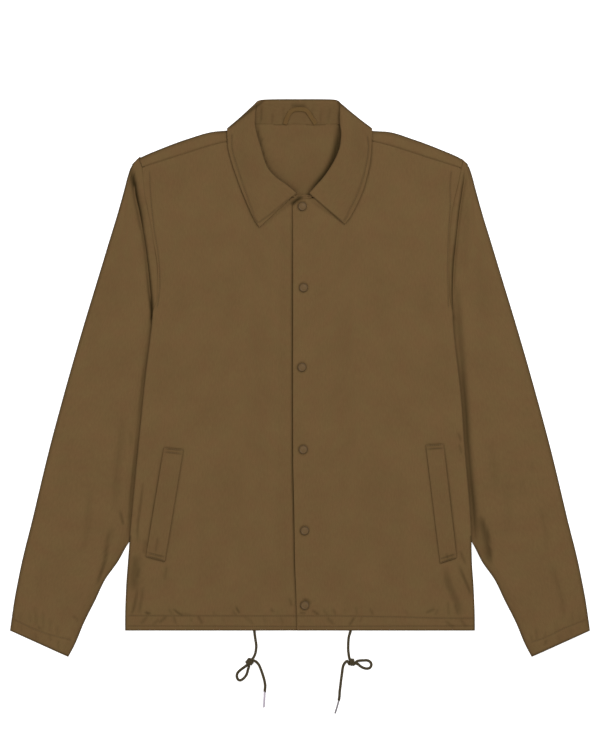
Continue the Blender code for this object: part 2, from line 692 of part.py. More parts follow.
def make_snap(index, place, material):
    """A pressed cap: a turned profile with a rolled rim and a shallow dish."""
    radius = SNAP_RADIUS
    height = SNAP_HEIGHT
    profile = (
        (0.0, height * 0.72), (radius * 0.45, height * 0.78), (radius * 0.62, height * 0.96),
        (radius * 0.8, height), (radius * 0.95, height * 0.72), (radius, height * 0.4),
        (radius * 0.9, 0.0), (0.0, 0.0),
    )
    points = [(x * MM, 0.0, z * MM) for x, z in profile]
    edges = [(number, number + 1) for number in range(len(points) - 1)]
    name = "snap_%d" % index
    mesh = bpy.data.meshes.new(name)
    mesh.from_pydata(points, edges, [])
    mesh.materials.append(material)
    snap = bpy.data.objects.new(name, mesh)
    bpy.data.collections[COLLECTION].objects.link(snap)
    screw = snap.modifiers.new("turn", "SCREW")
    screw.axis = "Z"
    screw.steps = 12
    screw.render_steps = 12
    screw.use_merge_vertices = True
    screw.merge_threshold = 0.00001
    screw.use_normal_calculate = True
    x, y = place
    base = front_height(LEFT, x, y) + WALL / 2 + GAP + 0.15
    snap.location = (x * MM, y * MM, base * MM)
    return snap


def make_cord_tube(name, route, diameter, material):
    """A round cord along a flat route on the ground."""
    curve = bpy.data.curves.new(name, "CURVE")
    curve.dimensions = "3D"
    curve.bevel_depth = diameter / 2 * MM
    curve.bevel_resolution = CORD_SIDES_RESOLUTION
    curve.use_fill_caps = True
    spline = curve.splines.new("POLY")
    spline.points.add(len(route) - 1)
    for point, place in zip(spline.points, route):
        point.co = (place[0] * MM, place[1] * MM, (TIP_DIAMETER / 2 + 0.05) * MM, 1.0)
    curve.materials.append(material)
    tube = bpy.data.objects.new(name, curve)
    bpy.data.collections[COLLECTION].objects.link(tube)
    return tube


def make_knot(name, place, turn, material):
    bpy.ops.mesh.primitive_uv_sphere_add(segments=12, ring_count=8, radius=MM)
    knot = bpy.context.object
    knot.name = name
    knot.data.name = name
    knot.scale = KNOT_RADII
    knot.rotation_euler = (0, 0, turn)
    knot.location = (place[0] * MM, place[1] * MM, (KNOT_RADII[2] + 0.1) * MM)
    knot.data.shade_smooth()
    knot.data.materials.append(material)
    for collection in list(knot.users_collection):
        collection.objects.unlink(knot)
    bpy.data.collections[COLLECTION].objects.link(knot)
    return knot


def make_cord(word, stem, loop, tail, knot, cord_material, tip_material):
    """One free end of the drawcord."""
    make_cord_tube("cord_%s_stem" % word, curve_points(stem, CORD_STEP), CORD_DIAMETER, cord_material)
    make_cord_tube("cord_%s_loop" % word, curve_points(loop, CORD_STEP), CORD_DIAMETER, cord_material)
    route = curve_points(tail, CORD_STEP)
    make_cord_tube("cord_%s_tail" % word, route, CORD_DIAMETER, cord_material)
    along = (route[-1] - route[-2]).normalized()
    tip_start = route[-1] + along * GAP
    tip = [tip_start + along * distance for distance in (0.0, TIP_LENGTH / 2, TIP_LENGTH)]
    make_cord_tube("cord_%s_tip" % word, tip, TIP_DIAMETER, tip_material)
    make_knot("cord_%s_knot" % word, knot, 0.0, cord_material)


def main():
    for thing in list(bpy.data.objects):
        bpy.data.objects.remove(thing, do_unlink=True)
    collection = bpy.data.collections.new(COLLECTION)
    bpy.context.scene.collection.children.link(collection)
    make_back(make_material("back_cloth", CLOTH_COLOUR, 0.6))
    make_front("front_left", LEFT, make_material("front_left_cloth", CLOTH_COLOUR, 0.6))
    make_front("front_right", RIGHT, make_material("front_right_cloth", CLOTH_COLOUR, 0.6))
    make_sleeve("sleeve_left", LEFT, make_material("sleeve_left_cloth", CLOTH_COLOUR, 0.6))
    make_sleeve("sleeve_right", RIGHT, make_material("sleeve_right_cloth", CLOTH_COLOUR, 0.6))
    make_collar(make_material("collar_cloth", CLOTH_COLOUR, 0.6))
    make_hanger_loop(make_material("tape", TAPE_COLOUR, 0.65))
    make_welt("pocket_welt_left", LEFT, WELT_LEFT, make_material("welt_left", CLOTH_COLOUR, 0.6))
    make_welt("pocket_welt_right", RIGHT, WELT_RIGHT, make_material("welt_right", CLOTH_COLOUR, 0.6))
    for index, place in enumerate(SNAP_PLACES, start=1):
        make_snap(index, place, make_material("snap_%d_enamel" % index, SNAP_COLOUR, 0.45))
    make_cord("right", STEM_RIGHT, LOOP_RIGHT, TAIL_RIGHT, KNOT_RIGHT,
              make_material("cord_right", CORD_COLOUR, 0.75), make_material("tip_right", TIP_COLOUR, 0.2))
    make_cord("left", STEM_LEFT, LOOP_LEFT, TAIL_LEFT, KNOT_LEFT,
              make_material("cord_left", CORD_COLOUR, 0.75), make_material("tip_left", TIP_COLOUR, 0.2))


main()
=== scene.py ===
"""Looks of a coach jacket that lies flat on its back, fastened, with its collar towards +Y.

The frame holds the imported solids. Every cloth piece here is a thin shell on the same grid as its
solid, made finer and given its folds. The wearer's left is at +X. Sizes in the tables are
millimetres, and lengths turn to metres only where a mesh is made.
"""
import math
import random

import bpy
import numpy as np
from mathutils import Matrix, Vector
from mathutils.bvhtree import BVHTree


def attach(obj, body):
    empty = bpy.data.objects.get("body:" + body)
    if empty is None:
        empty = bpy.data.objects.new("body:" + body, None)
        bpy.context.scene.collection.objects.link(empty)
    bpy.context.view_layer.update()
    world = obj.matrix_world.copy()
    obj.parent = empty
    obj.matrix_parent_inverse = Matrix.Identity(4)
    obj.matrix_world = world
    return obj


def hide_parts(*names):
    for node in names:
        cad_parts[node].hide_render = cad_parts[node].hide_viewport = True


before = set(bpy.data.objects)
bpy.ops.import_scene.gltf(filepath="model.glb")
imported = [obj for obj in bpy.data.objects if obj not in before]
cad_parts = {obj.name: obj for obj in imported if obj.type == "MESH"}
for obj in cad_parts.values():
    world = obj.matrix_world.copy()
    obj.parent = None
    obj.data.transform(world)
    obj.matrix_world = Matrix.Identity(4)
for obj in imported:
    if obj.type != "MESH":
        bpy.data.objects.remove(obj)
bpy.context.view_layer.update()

MM = 0.001
WALL = 1.2
SLEEVE_WALL = 1.0
GAP = 0.3
SEAM_ALLOWANCE = 3.0

# Heights of the middle of each cloth layer
FLOOR_LAYER = WALL / 2
SLEEVE_FLOOR = SLEEVE_WALL / 2
TOP_CENTRE = 4.7
TOP_SIDE = 5.7
SLEEVE_TOP = 4.2
SLEEVE_EDGE_TOP = 2.1
BACK_SHELF = 3.6
RAISED_BACK = 2.3
UNDERARM_CREST = 2.2
UNDER_PLACKET = 2.9
PLACKET_LAYER = 5.0

# Body: hem, where the back starts to lie on the sleeves' tucked edges, underarm, first row of the
# armhole, shoulder, and the roll along the folded side edge
HEM_Y = -361.2
SHELF_Y = -245.0
SHELF_RAMP = 8.0
UNDERARM_Y = 96.0
ARMHOLE_Y = 99.0
SHOULDER_END_Y = 309.5
FRONT_SIDE_TOP_Y = 299.5
NECK_CORNER_X = 80.3
ROLL_WIDTH = 3.5
ROLL_DROP = 0.85

# Body edge that lies over each sleeve, and the armhole seam inside it, both from the centre line
SIDE_COLUMNS = ("y", "fold", "seam")
SIDE_LEFT = (
    (-362, 249.7, 249.7), (-317, 249.2, 249.2), (-289, 247.0, 247.0), (-260, 245.4, 245.4),
    (-222, 244.6, 244.6), (-167, 241.2, 241.2), (-112, 236.0, 236.0), (-30, 230.4, 230.4),
    (7, 226.4, 226.4), (41, 222.2, 222.2), (76, 219.0, 219.0), (93, 217.8, 217.8),
    (99, 217.6, 216.9), (108, 217.2, 215.0), (121, 217.2, 213.8), (155, 218.2, 213.6),
    (195, 221.8, 213.6), (235, 226.2, 216.6), (270, 231.2, 224.0), (302, 235.6, 231.0),
    (312, 236.4, 232.6),
)
SIDE_RIGHT = (
    (-362, 249.7, 249.7), (-317, 249.4, 249.4), (-289, 247.4, 247.4), (-260, 245.4, 245.4),
    (-222, 242.6, 242.6), (-167, 237.6, 237.6), (-112, 232.4, 232.4), (-30, 224.2, 224.2),
    (7, 220.4, 220.4), (41, 216.0, 216.0), (76, 211.8, 211.8), (93, 210.4, 210.4),
    (99, 210.4, 209.0), (108, 210.8, 205.4), (121, 212.2, 203.6), (155, 215.6, 203.6),
    (195, 220.4, 209.2), (235, 227.8, 216.2), (270, 234.4, 222.8), (302, 237.6, 225.8),
    (312, 236.8, 229.6),
)

# Sleeve: outer edge, and how far the inner edge is tucked under the body's edge
SLEEVE_OUTER = (
    (-361.8, 414.6), (-346, 412.4), (-317.5, 408.2), (-260, 396.8), (-203, 382.6), (-146, 369.2),
    (-88.7, 355.0), (-31.5, 339.6), (25.7, 323.6), (83, 306.8), (140, 289.4), (197, 272.2),
    (254.5, 254.8), (283, 247.6), (300, 242.2), (309.5, 237.0),
)
SLEEVE_TUCK = (
    (-399, -82.3), (-386, -75.0), (-369, -67.8), (-346, -58.0), (-317.5, -43.8), (-289, -32.2),
    (-262, -15.0), (-240, -4.4), (-222, 5.6), (-200, 12.0), (-167, 13.0), (-112, 11.0),
    (-60, 9.0), (0, 7.0), (50, 6.0), (78, 3.5), (93, 2.0), (99, 0.5),
)
CUFF_INNER_Y = -398.87
CUFF_OUTER_Y = -361.4
STRAIGHT_SECTIONS_ABOVE = -90.0

# Rows that body and sleeves share, from the hem to the shoulder
ROWS = (
    HEM_Y, -346, -300, -262, -240, -222, -190, -140, -90, -40, 10, 50, 78, 93, 99, 108, 121, 155,
    195, 235, 270, 286,
)
LOWER_SLEEVE_ROWS = (CUFF_INNER_Y, -380, -350, -318, -289, -262, -240, -222, -190, -140)

# The sleeve's first section, by how far its inner and outer points lie below the shoulder's end,
# and how far above it the row lies that closes it
SHOULDER_SECTION = (1.4, 4.6)
SHOULDER_CLOSING = 0.8

# Height over which a sleeve fills out below the shoulder, and how its sewn edge drops under the
# front: share of the seam allowance, drop at the armhole's start and drop further up
SLEEVE_FILLS_OVER = 45
SLEEVE_TUCK_DROPS = ((0.1, 0.3, 0.8), (0.45, 0.6, 1.35), (1.0, 0.8, 1.5))

# Shoulder: silhouette and forward seam as heights over x, front neckline, back neckline
SHOULDER_EDGE = (
    (78, 364.2), (90, 359.4), (98, 355.2), (106, 352.6), (116, 352.4), (131.6, 350.6),
    (157, 342.4), (181.6, 334.0), (203, 325.4), (223, 316.8), (233, 311.6),
)
FORWARD_SEAM = (
    (80, 343.6), (103, 338.4), (126, 332.8), (154, 324.0), (186, 314.0), (228, 300.6),
    (236, 298.4),
)
NECKLINE = (
    (19, 257.4), (34, 264.6), (47, 275.2), (61, 291.0), (71, 309.0), (77.4, 326.0), (80, 343.0),
)
LOWER_FRONT_NECK = ((-17, 262.4), (-12, 262.4), (0, 262.2), (8, 260.6), (14, 257.6)) + NECKLINE
UPPER_FRONT_NECK = (
    (-10.4, 245.6), (-10.0, 247.4), (-9.0, 249.6), (-7.0, 252.0), (-4.0, 254.2), (-1.0, 255.4),
    (7.0, 256.0), (14, 255.8),
) + NECKLINE
BACK_NECK = ((-64, 363.4), (0, 363.4), (64, 363.2), (72, 361.6), (NECK_CORNER_X, 362.9))

# Collar: a station a row, its neck edge, the middle of its roll, its outer edge, how far the
# roll has turned over, in degrees, and the heights of the three
COLLAR_COLUMNS = ("neck", "roll", "edge", "turn", "neck_z", "roll_z", "edge_z")
COLLAR_LEFT = (
    ((0, 361.7), (0, 397.4), (0, 340), 0, 2.3, 1.74, 0.6),
    ((26, 361.7), (24, 397.4), (34, 340), 0, 2.3, 1.74, 0.6),
    ((48, 361.8), (42, 397.2), (64, 341), 0, 2.3, 1.74, 0.6),
    ((60, 362.0), (50.4, 396.6), (86, 344.6), 12, 2.3, 1.9, 0.6),
    ((67, 362.4), (54.4, 395.0), (99.6, 353.0), 38, 2.4, 2.5, 0.6),
    ((72, 363.0), (56.8, 392.6), (101.9, 356.0), 64, 2.6, 3.3, 1.65),
    ((75.4, 363.8), (57.8, 389.8), (102.7, 356.9), 90, 3.0, 4.2, 4.2),
    ((77.8, 363.4), (58.0, 386.6), (102.9, 355.6), 116, 3.6, 5.0, 6.7),
    ((79.0, 361.0), (58.0, 382.8), (103.2, 352.8), 142, 4.5, 5.8, 7.7),
    ((79.5, 356.0), (57.9, 377.0), (103.3, 348.0), 168, 5.5, 6.6, 7.8),
    ((79.5, 349.6), (58.0, 367.0), (102.6, 339.0), 180, 5.7, 6.9, 7.5),
    ((79.0, 341.0), (60.0, 350.0), (101.8, 325.0), 180, 5.6, 6.9, 7.4),
    ((76.4, 326.0), (58.9, 334.6), (100.4, 311.0), 180, 5.5, 6.8, 7.3),
    ((70.0, 309.0), (53.7, 317.8), (96.4, 290.0), 180, 5.4, 6.7, 7.2),
    ((60.0, 291.2), (44.4, 300.4), (90.4, 268.4), 180, 5.3, 6.6, 7.1),
    ((45.8, 276.2), (32.8, 284.2), (80.6, 246.0), 180, 5.2, 6.5, 6.9),
    ((33.4, 265.4), (23.0, 273.4), (71.6, 229.4), 180, 5.1, 6.4, 6.8),
    ((18.6, 258.2), (14.0, 263.6), (64.0, 219.8), 180, 5.1, 6.3, 6.8),
)
COLLAR_RIGHT = (
    ((60, 362.0), (54.4, 396.6), (86, 344.6), 12, 2.3, 1.9, 0.6),
    ((67, 362.4), (59.6, 395.2), (99.6, 353.0), 38, 2.4, 2.5, 0.6),
    ((72, 363.0), (62.4, 392.6), (102.4, 356.4), 64, 2.6, 3.3, 1.65),
    ((75.4, 363.8), (63.6, 389.4), (103.6, 357.2), 90, 3.0, 4.2, 4.2),
    ((77.8, 363.4), (64.2, 385.8), (104.0, 356.0), 116, 3.6, 5.0, 6.7),
    ((79.0, 361.0), (64.8, 381.4), (104.3, 353.4), 142, 4.5, 5.8, 7.7),
    ((79.5, 356.0), (65.2, 375.0), (104.3, 348.6), 168, 5.5, 6.6, 7.8),
    ((79.5, 349.6), (65.6, 364.0), (103.8, 339.6), 180, 5.7, 6.9, 7.5),
    ((79.0, 341.0), (63.2, 350.4), (103.0, 330.0), 180, 5.6, 6.9, 7.4),
    ((76.4, 326.0), (57.6, 331.0), (99.4, 314.0), 180, 5.5, 6.8, 7.3),
    ((70.0, 309.0), (52.0, 311.4), (93.8, 296.0), 180, 5.4, 6.7, 7.2),
    ((60.0, 291.2), (46.0, 298.2), (84.6, 270.6), 180, 5.3, 6.6, 7.1),
    ((45.8, 276.2), (34.8, 286.2), (73.0, 243.0), 180, 5.2, 6.5, 6.9),
    ((26.0, 261.8), (20.6, 276.0), (65.0, 225.6), 180, 5.1, 6.5, 6.9),
    ((8.0, 258.6), (6.0, 264.0), (58.2, 215.0), 180, 5.1, 6.6, 6.9),
)
ROLL_RADIUS = 1.1

# Where the back rides over the collar's hidden fall: from this height and rise on, and within this
# half width and slope
RAISED_FROM_Y = 306
RAISED_RISE = 22
RAISED_HALF = 110
RAISED_SLOPE = 30

# Distance from the centre line over which the body rises from its centre to its side level
TOP_RISE = 150

# Height of the back over the distance inside its edge, on the sleeve's tucked edge and at the hem
SHELF_PROFILE = ((0.0, 3.8), (0.6, 3.62), (1.6, BACK_SHELF), (40.0, BACK_SHELF))
HEM_SIDE_PROFILE = ((0.0, 2.9), (0.4, 1.7), (1.5, 0.95))
HEM_SIDE_WIDTH = 3.5

# Distances of the back's edge columns from its edge
ARMHOLE_INSETS = (18.0, 12.0, 6.0, 3.5, 1.5, 0.0)
HEM_INSETS = (12.0, 6.0, 3.5, 1.5, 0.4, 0.0)

# Columns of the back between its edge columns, as shares of its half width
BACK_SHARES = (0.76, 0.575, 0.487, 0.3765, 0.300, 0.150)

# Placket edge: how far the upper front runs past the centre line, over y
PLACKET_EDGE = (
    (HEM_Y, -4.0), (-312, -5.2), (-270, -6.9), (-186, -8.3), (-111, -9.8), (183, -9.9),
    (260, -10.4),
)

# Columns of the fronts where they meet neckline and shoulder, and those along the side edge
FRONT_COLUMNS = (14.0, 19.0, 34.0, 47.0, 61.0, 71.0, 77.4, 80.3, 103.0, 128.0, 157.0, 190.0)
FRONT_LEFT_COLUMNS = (-10.4, -10.0, -9.0, -7.0, -4.0, -1.0, 7.0) + FRONT_COLUMNS
FRONT_RIGHT_COLUMNS = (-17.0, -6.0, 0.0, 8.0) + FRONT_COLUMNS
FRONT_INSETS = (14.0, 7.0, 3.5, 1.6, 0.6, 0.0)

# How the upper front rises to the placket and the lower one dips under it: how far past the centre
# line that starts, and over what width
PLACKET_RISE = (2, 24)
PLACKET_DIP = (34, 20)

# Rows beyond the shoulder seam, tucked under the back's forward edge: distance and drop
SHOULDER_TUCK = ((0.7, 0.9), (1.8, 1.4), (SEAM_ALLOWANCE, 1.5))

SNAP_PLACES = (
    (3.4, 245.5), (5.1, 129.3), (2.9, 15.4), (4.6, -102.2), (6.7, -218.2), (6.9, -325.0),
)

# Welts, corner by corner: upper inner, upper outer, lower outer, lower inner
WELT_LEFT = ((179.8, -95.6), (205.0, -94.0), (224.0, -257.4), (200.4, -265.0))
WELT_RIGHT = ((166.6, -102.2), (194.6, -99.4), (220.4, -255.4), (193.2, -262.4))
WELT_WALL = 1.0
WELT_ROWS = 13
WELT_COLUMNS_ACROSS = 3

HANGER_PATH = (
    (-21.8, 362.6), (-18.4, 372.0), (-14.2, 380.0), (-7.6, 383.8), (2.4, 384.4), (9.6, 382.2),
    (15.6, 374.0), (22.6, 363.2),
)
TAPE_WIDTH = 6.2
TAPE_WALL = 1.0

# Drawcord: points of each free end on the ground, the knot's centre, and the way its loop points
CORD_DIAMETER = 4.0
CORD_HEIGHT = 2.1
CORD_STEP = 1.5
STEM_RIGHT = (
    (-65.8, -355.0), (-65.4, -361.5), (-63.9, -373.1), (-62.6, -381.8), (-62.8, -387.8),
    (-63.9, -394.0), (-66.1, -399.1), (-68.6, -402.4),
)
LOOP_RIGHT = (
    (-75.6, -410.4), (-82.5, -415.6), (-87.8, -420.0), (-90.4, -425.1), (-89.1, -430.7),
    (-85.5, -432.6), (-80.8, -429.9), (-76.5, -424.3), (-74.4, -417.3), (-73.2, -412.1),
)
TAIL_RIGHT = (
    (-66.0, -404.2), (-62.6, -406.1), (-58.8, -410.4), (-55.8, -417.3), (-53.1, -425.1),
    (-50.9, -433.0), (-49.8, -439.9), (-50.1, -445.0), (-50.5, -449.8),
)
TIP_RIGHT = ((-50.5, -448.6), (-51.0, -460.0), (-51.8, -471.6))
KNOT_RIGHT = ((-72.0, -406.2), (-0.58, -0.82))
STEM_LEFT = (
    (72.8, -355.0), (72.2, -362.0), (69.9, -370.5), (69.1, -379.2), (68.9, -387.8),
    (69.5, -394.0), (70.4, -400.0), (71.8, -403.6),
)
LOOP_LEFT = (
    (81.7, -408.7), (86.1, -412.1), (90.4, -414.6), (95.5, -415.8), (100.4, -414.3),
    (102.1, -410.0), (100.4, -406.1), (96.4, -404.0), (91.2, -404.0), (84.4, -404.4), (80.8, -405.7),
)
TAIL_LEFT = (
    (67.2, -404.8), (63.1, -409.1), (61.3, -413.8), (60.1, -422.6), (58.9, -431.1),
    (57.9, -439.9), (56.8, -448.6), (56.5, -454.6), (55.5, -461.6),
)
TIP_LEFT = ((55.8, -460.4), (53.2, -470.0), (50.0, -480.2))
KNOT_LEFT = ((74.2, -406.4), (0.99, -0.145))


# Camera above the jacket, and the height of what the picture takes in
CAMERA_DISTANCE = 6000
CAMERA_RISE = 5
CAMERA_Y = 4.3
PHOTO_HEIGHT = 1072.5
SENSOR_HEIGHT = 24

# Stage, in metres: half the ground's width, its height, how far the camera sees, and the lamps by
# name, place, size and power
FLOOR_HALF = 3.0
FLOOR_Z = -0.0003
CAMERA_REACH = 50
LIGHTS = (("key", (1.3, 1.5, 2.2), 1.6, 46), ("fill", (-1.8, -0.6, 2.0), 2.2, 24))
SKY_STRENGTH = 0.55

CLOTH_COLOUR = (0.139, 0.0815, 0.0315)
TAPE_COLOUR = (0.120, 0.0675, 0.0215)
SNAP_COLOUR = (0.118, 0.0685, 0.0250)
THREAD_COLOUR = (0.105, 0.060, 0.021)
CORD_COLOUR = (0.052, 0.038, 0.016)
TIP_COLOURS = {"right": (0.44, 0.39, 0.45), "left": (0.17, 0.155, 0.17)}
WEAVE_PERIOD = 0.6

# How each kind of cloth is refined and laid: the step of its grid, the finer step and the parts that
# have it, the seeds of its swell and dye, and the height from which its faces look up, with the
# rise over which they turn. A part is measured along the grid, and from its end if below zero. At
# -1.0 all of the cloth looks up
LAY_COLUMNS = (
    "step", "fine_step", "along", "across", "swell_seed", "dye_seed", "turn_z", "turn_rise",
)
LAYS = {
    "back": (3.6, 1.2, ((0, 26),), (), 1, 11, 3.9, 0.4),
    "front": (2.1, 1.1, ((0, 10), (18, 26)), ((0, 10), (-14, 0)), 2, 3, -1.0, 1.0),
    "sleeve": (2.9, 1.2, ((-24, 0),), ((-24, 0),), 5, 7, 1.8, 1.4),
    "collar": (1.9, 1.0, (), (), 8, 5, 1.2, 0.6),
    "welt": (1.6, 1.0, (), (), 2, 9, -1.0, 1.0),
}
TAPE_STEP = 1.2
SPAN_SAMPLES = 40

# Creases: a path on the cloth, how wide the crease is on the left and right of it, its height,
# and how much painted shade darkens its bottom. Paths are read in steps, and a crease is felt this
# many widths away. Under a cloth the creases of its upper side show as shallower ridges with paler
# painted shade
CREASE_COLUMNS = ("path", "left", "right", "depth", "dark")
CREASE_STEP = 4.0
CREASE_REACH = 2.6
UNDER_DEPTH = 0.7
UNDER_DARK = 0.8
SWELL_WAVES = 14
FRONT_CREASES = (
    (((-223.8, -147.3), (-228.8, -185.9), (-232.2, -214.5), (-231.7, -238.8)), 1.8, 1.8, -0.7, 0.3),
    (((-233.8, -251.7), (-236.2, -277.4), (-237.4, -306)), 7, 6, -0.8, 0.34),
    (((-232.2, -300.3), (-235.9, -321.3), (-241.2, -340.3)), 1.9, 1.9, -0.8, 0.35),
    (((-223.5, -297.4), (-227.4, -321.8), (-230.5, -338.9)), 1.8, 1.8, -0.6, 0.28),
    (((-227.7, -300.3), (-231.7, -323.2), (-235.4, -338.9)), 1.8, 1.8, 0.6, 0),
    (((-229.2, -270.3), (-233.4, -286)), 1.8, 1.8, -0.5, 0.28),
    (((-190.8, -267.4), (-193.3, -290.3)), 1.8, 1.8, -0.5, 0.24),
    (((-196.2, -268.8), (-198.8, -287.4)), 2, 2, 0.4, 0),
    (((-221.6, -334), (-217.4, -336.9), (-213.1, -336.1)), 1.9, 1.9, -0.7, 0.5),
    (((-181.6, -329.8), (-174.5, -335.8), (-166.7, -340.6)), 1.6, 1.4, -0.7, 0.45),
    (((-188.2, -330.3), (-182.2, -339.2)), 1.5, 1.5, -0.5, 0.22),
    (((-170.2, -336.9), (-154.4, -339.8)), 2.2, 2.2, -0.3, 0.14),
    (((-92.1, -326.9), (-86.1, -337.2)), 1.6, 1.4, -0.6, 0.4),
    (((-96.4, -331.8), (-91.2, -340.1)), 1.4, 1.4, -0.4, 0.2),
    (((-16.6, -313.9), (-13.4, -321), (-11.2, -327.5)), 1.8, 1.8, -0.5, 0.3),
    (((-42, -328.9), (-38, -335.2)), 1.7, 1.7, -0.4, 0.28),
    (((-36.5, -332), (-30, -337.2)), 1.7, 1.7, 0.5, 0),
    (((-217.6, -340.1), (-228.1, -352.6)), 1.8, 1.6, -0.5, 0.3),
    (((-201.9, -344.9), (-211.1, -354.2)), 1.6, 1.5, -0.5, 0.25),
    (((-190.5, -340.3), (-202.2, -350.9)), 1.7, 1.6, -0.6, 0.4),
    (((-180.5, -340.3), (-177.6, -352.5)), 1.6, 1.6, -0.5, 0.3),
    (((-146.7, -339.8), (-143, -344.6), (-139.3, -352.4)), 1.7, 1.7, -0.6, 0.35),
    (((-156.4, -342.3), (-155, -348.9)), 1.4, 1.4, -0.4, 0.28),
    (((-80.9, -340.3), (-72.9, -346.8), (-66.1, -353.8)), 2.1, 2.1, -0.5, 0.15),
    (((-72.4, -340.3), (-63.8, -351.2)), 1.8, 1.8, 0.4, 0),
    (((-110.7, -341.2), (-108.1, -352.4)), 1.8, 1.8, -0.3, 0.1),
    (((-27.7, -341.8), (-23.7, -353.2)), 1.8, 1.8, -0.4, 0.15),
    (((-124.4, -333.2), (-120.1, -339.8)), 1.6, 1.6, -0.3, 0.12),
    (((-52.9, -341.8), (-48.6, -351.8)), 1.8, 1.8, -0.3, 0.1),
    (((2.9, -316.3), (10.7, -317.2), (16.3, -323.2)), 1.5, 1.5, -0.4, 0.4),
    (((-1.4, -335.5), (9.4, -336.6)), 1.5, 1.5, -0.4, 0.35),
    (((17.2, -331.5), (22.2, -335.5), (27.2, -338.9)), 1.6, 1.5, -0.6, 0.5),
    (((32.9, -330.9), (40.3, -340.6)), 1.6, 1.6, -0.4, 0.2),
    (((46.6, -328.9), (51.5, -339.8)), 1.6, 1.6, -0.5, 0.25),
    (((63.6, -329.8), (65.1, -339.5)), 1.4, 1.4, -0.3, 0.1),
    (((79.8, -326.6), (81.8, -340.1)), 1.6, 1.6, -0.4, 0.16),
    (((99, -328.9), (105.5, -339.5)), 1.6, 1.6, -0.4, 0.25),
    (((85.1, -333.2), (95.1, -333.9)), 2, 2, 0.3, 0),
    (((179.3, -336.6), (185.9, -333.2), (193.9, -330.3)), 1.8, 1.8, -0.5, 0.3),
    (((197.3, -330.3), (193.9, -339.8)), 1.6, 1.6, -0.4, 0.2),
    (((207.6, -268.8), (211.6, -293.1), (218.4, -309.5), (225.1, -324.6), (230.2, -341.8)),
     4.6, 4.2, -1.3, 0.3),
    (((227.1, -267.4), (234.5, -286), (241.4, -301.7), (245.1, -313.2)), 2, 2, -0.8, 0.4),
    (((220.8, -321.8), (227.1, -340.9)), 1.6, 1.6, -0.4, 0.25),
    (((211.4, -318.9), (213.1, -340.9)), 1.6, 1.6, -0.4, 0.22),
    (((38, -341.8), (48.6, -353.2)), 1.9, 1.9, -0.5, 0.28),
    (((78.6, -341.2), (74.4, -347.5), (69.8, -355.2)), 1.9, 1.9, -0.6, 0.35),
    (((88.9, -341.5), (84.9, -349.8)), 1.5, 1.5, -0.3, 0.2),
    (((82.8, -341.5), (77.6, -350.9)), 1.7, 1.7, 0.4, 0),
    (((207.6, -346.6), (214.5, -353.2), (221.1, -358.1)), 2.1, 2.1, -0.5, 0.25),
    (((229.1, -343.8), (233.1, -350.3), (238.2, -356.9)), 2.1, 2.1, -0.5, 0.25),
    (((120.1, -341.8), (122.4, -351.8)), 1.7, 1.7, -0.3, 0.08),
    (((150.2, -330.3), (154.4, -340.3)), 1.7, 1.7, -0.3, 0.1),
    (((225.7, -77.2), (230.8, -92.4)), 1.6, 1.6, -0.5, 0.26),
    (((227.1, -94.4), (231.4, -108.7)), 1.6, 1.6, -0.5, 0.26),
    (((228.5, -246), (237.1, -267.4)), 1.7, 1.7, -0.5, 0.28),
    (((208.8, -249.4), (211.9, -260.3)), 1.6, 1.6, -0.4, 0.26),
    (((215.6, -250.8), (218.5, -257.4)), 1.5, 1.5, -0.3, 0.2),
    (((-202.8, -227.4), (-206.5, -250.2)), 1.8, 1.8, -0.5, 0.26),
    (((-220.5, -230.2), (-223.7, -251.7)), 1.7, 1.7, -0.4, 0.26),
    (((-91.5, 165.9), (-98.7, 68.6), (-103, -20)), 9, 12, -0.5, 0.02),
    (((-45.8, -60.1), (-54.3, -131.6), (-58.6, -217.4), (-54.3, -288.9)), 7, 9, -0.4, 0.02),
    (((103, 197.3), (114.4, 111.5), (118.7, 37.2)), 10, 8, -0.5, 0.02),
    (((148.7, -131.6), (140.1, -203.1), (143, -281.7)), 8, 10, -0.45, 0.02),
    (((-148.7, -145.9), (-138.7, -217.4), (-135.8, -303.2)), 7, 8, -0.4, 0.02),
    (((64.3, -88.7), (58.6, -181.6), (62.9, -260.3)), 9, 6, -0.4, 0.02),
    (((-171.6, 233.1), (-177.3, 165.9), (-170.2, 111.5)), 8, 10, -0.45, 0.02),
    (((183, 223.1), (187.3, 165.9), (180.2, 97.2)), 9, 8, -0.45, 0.02),
)
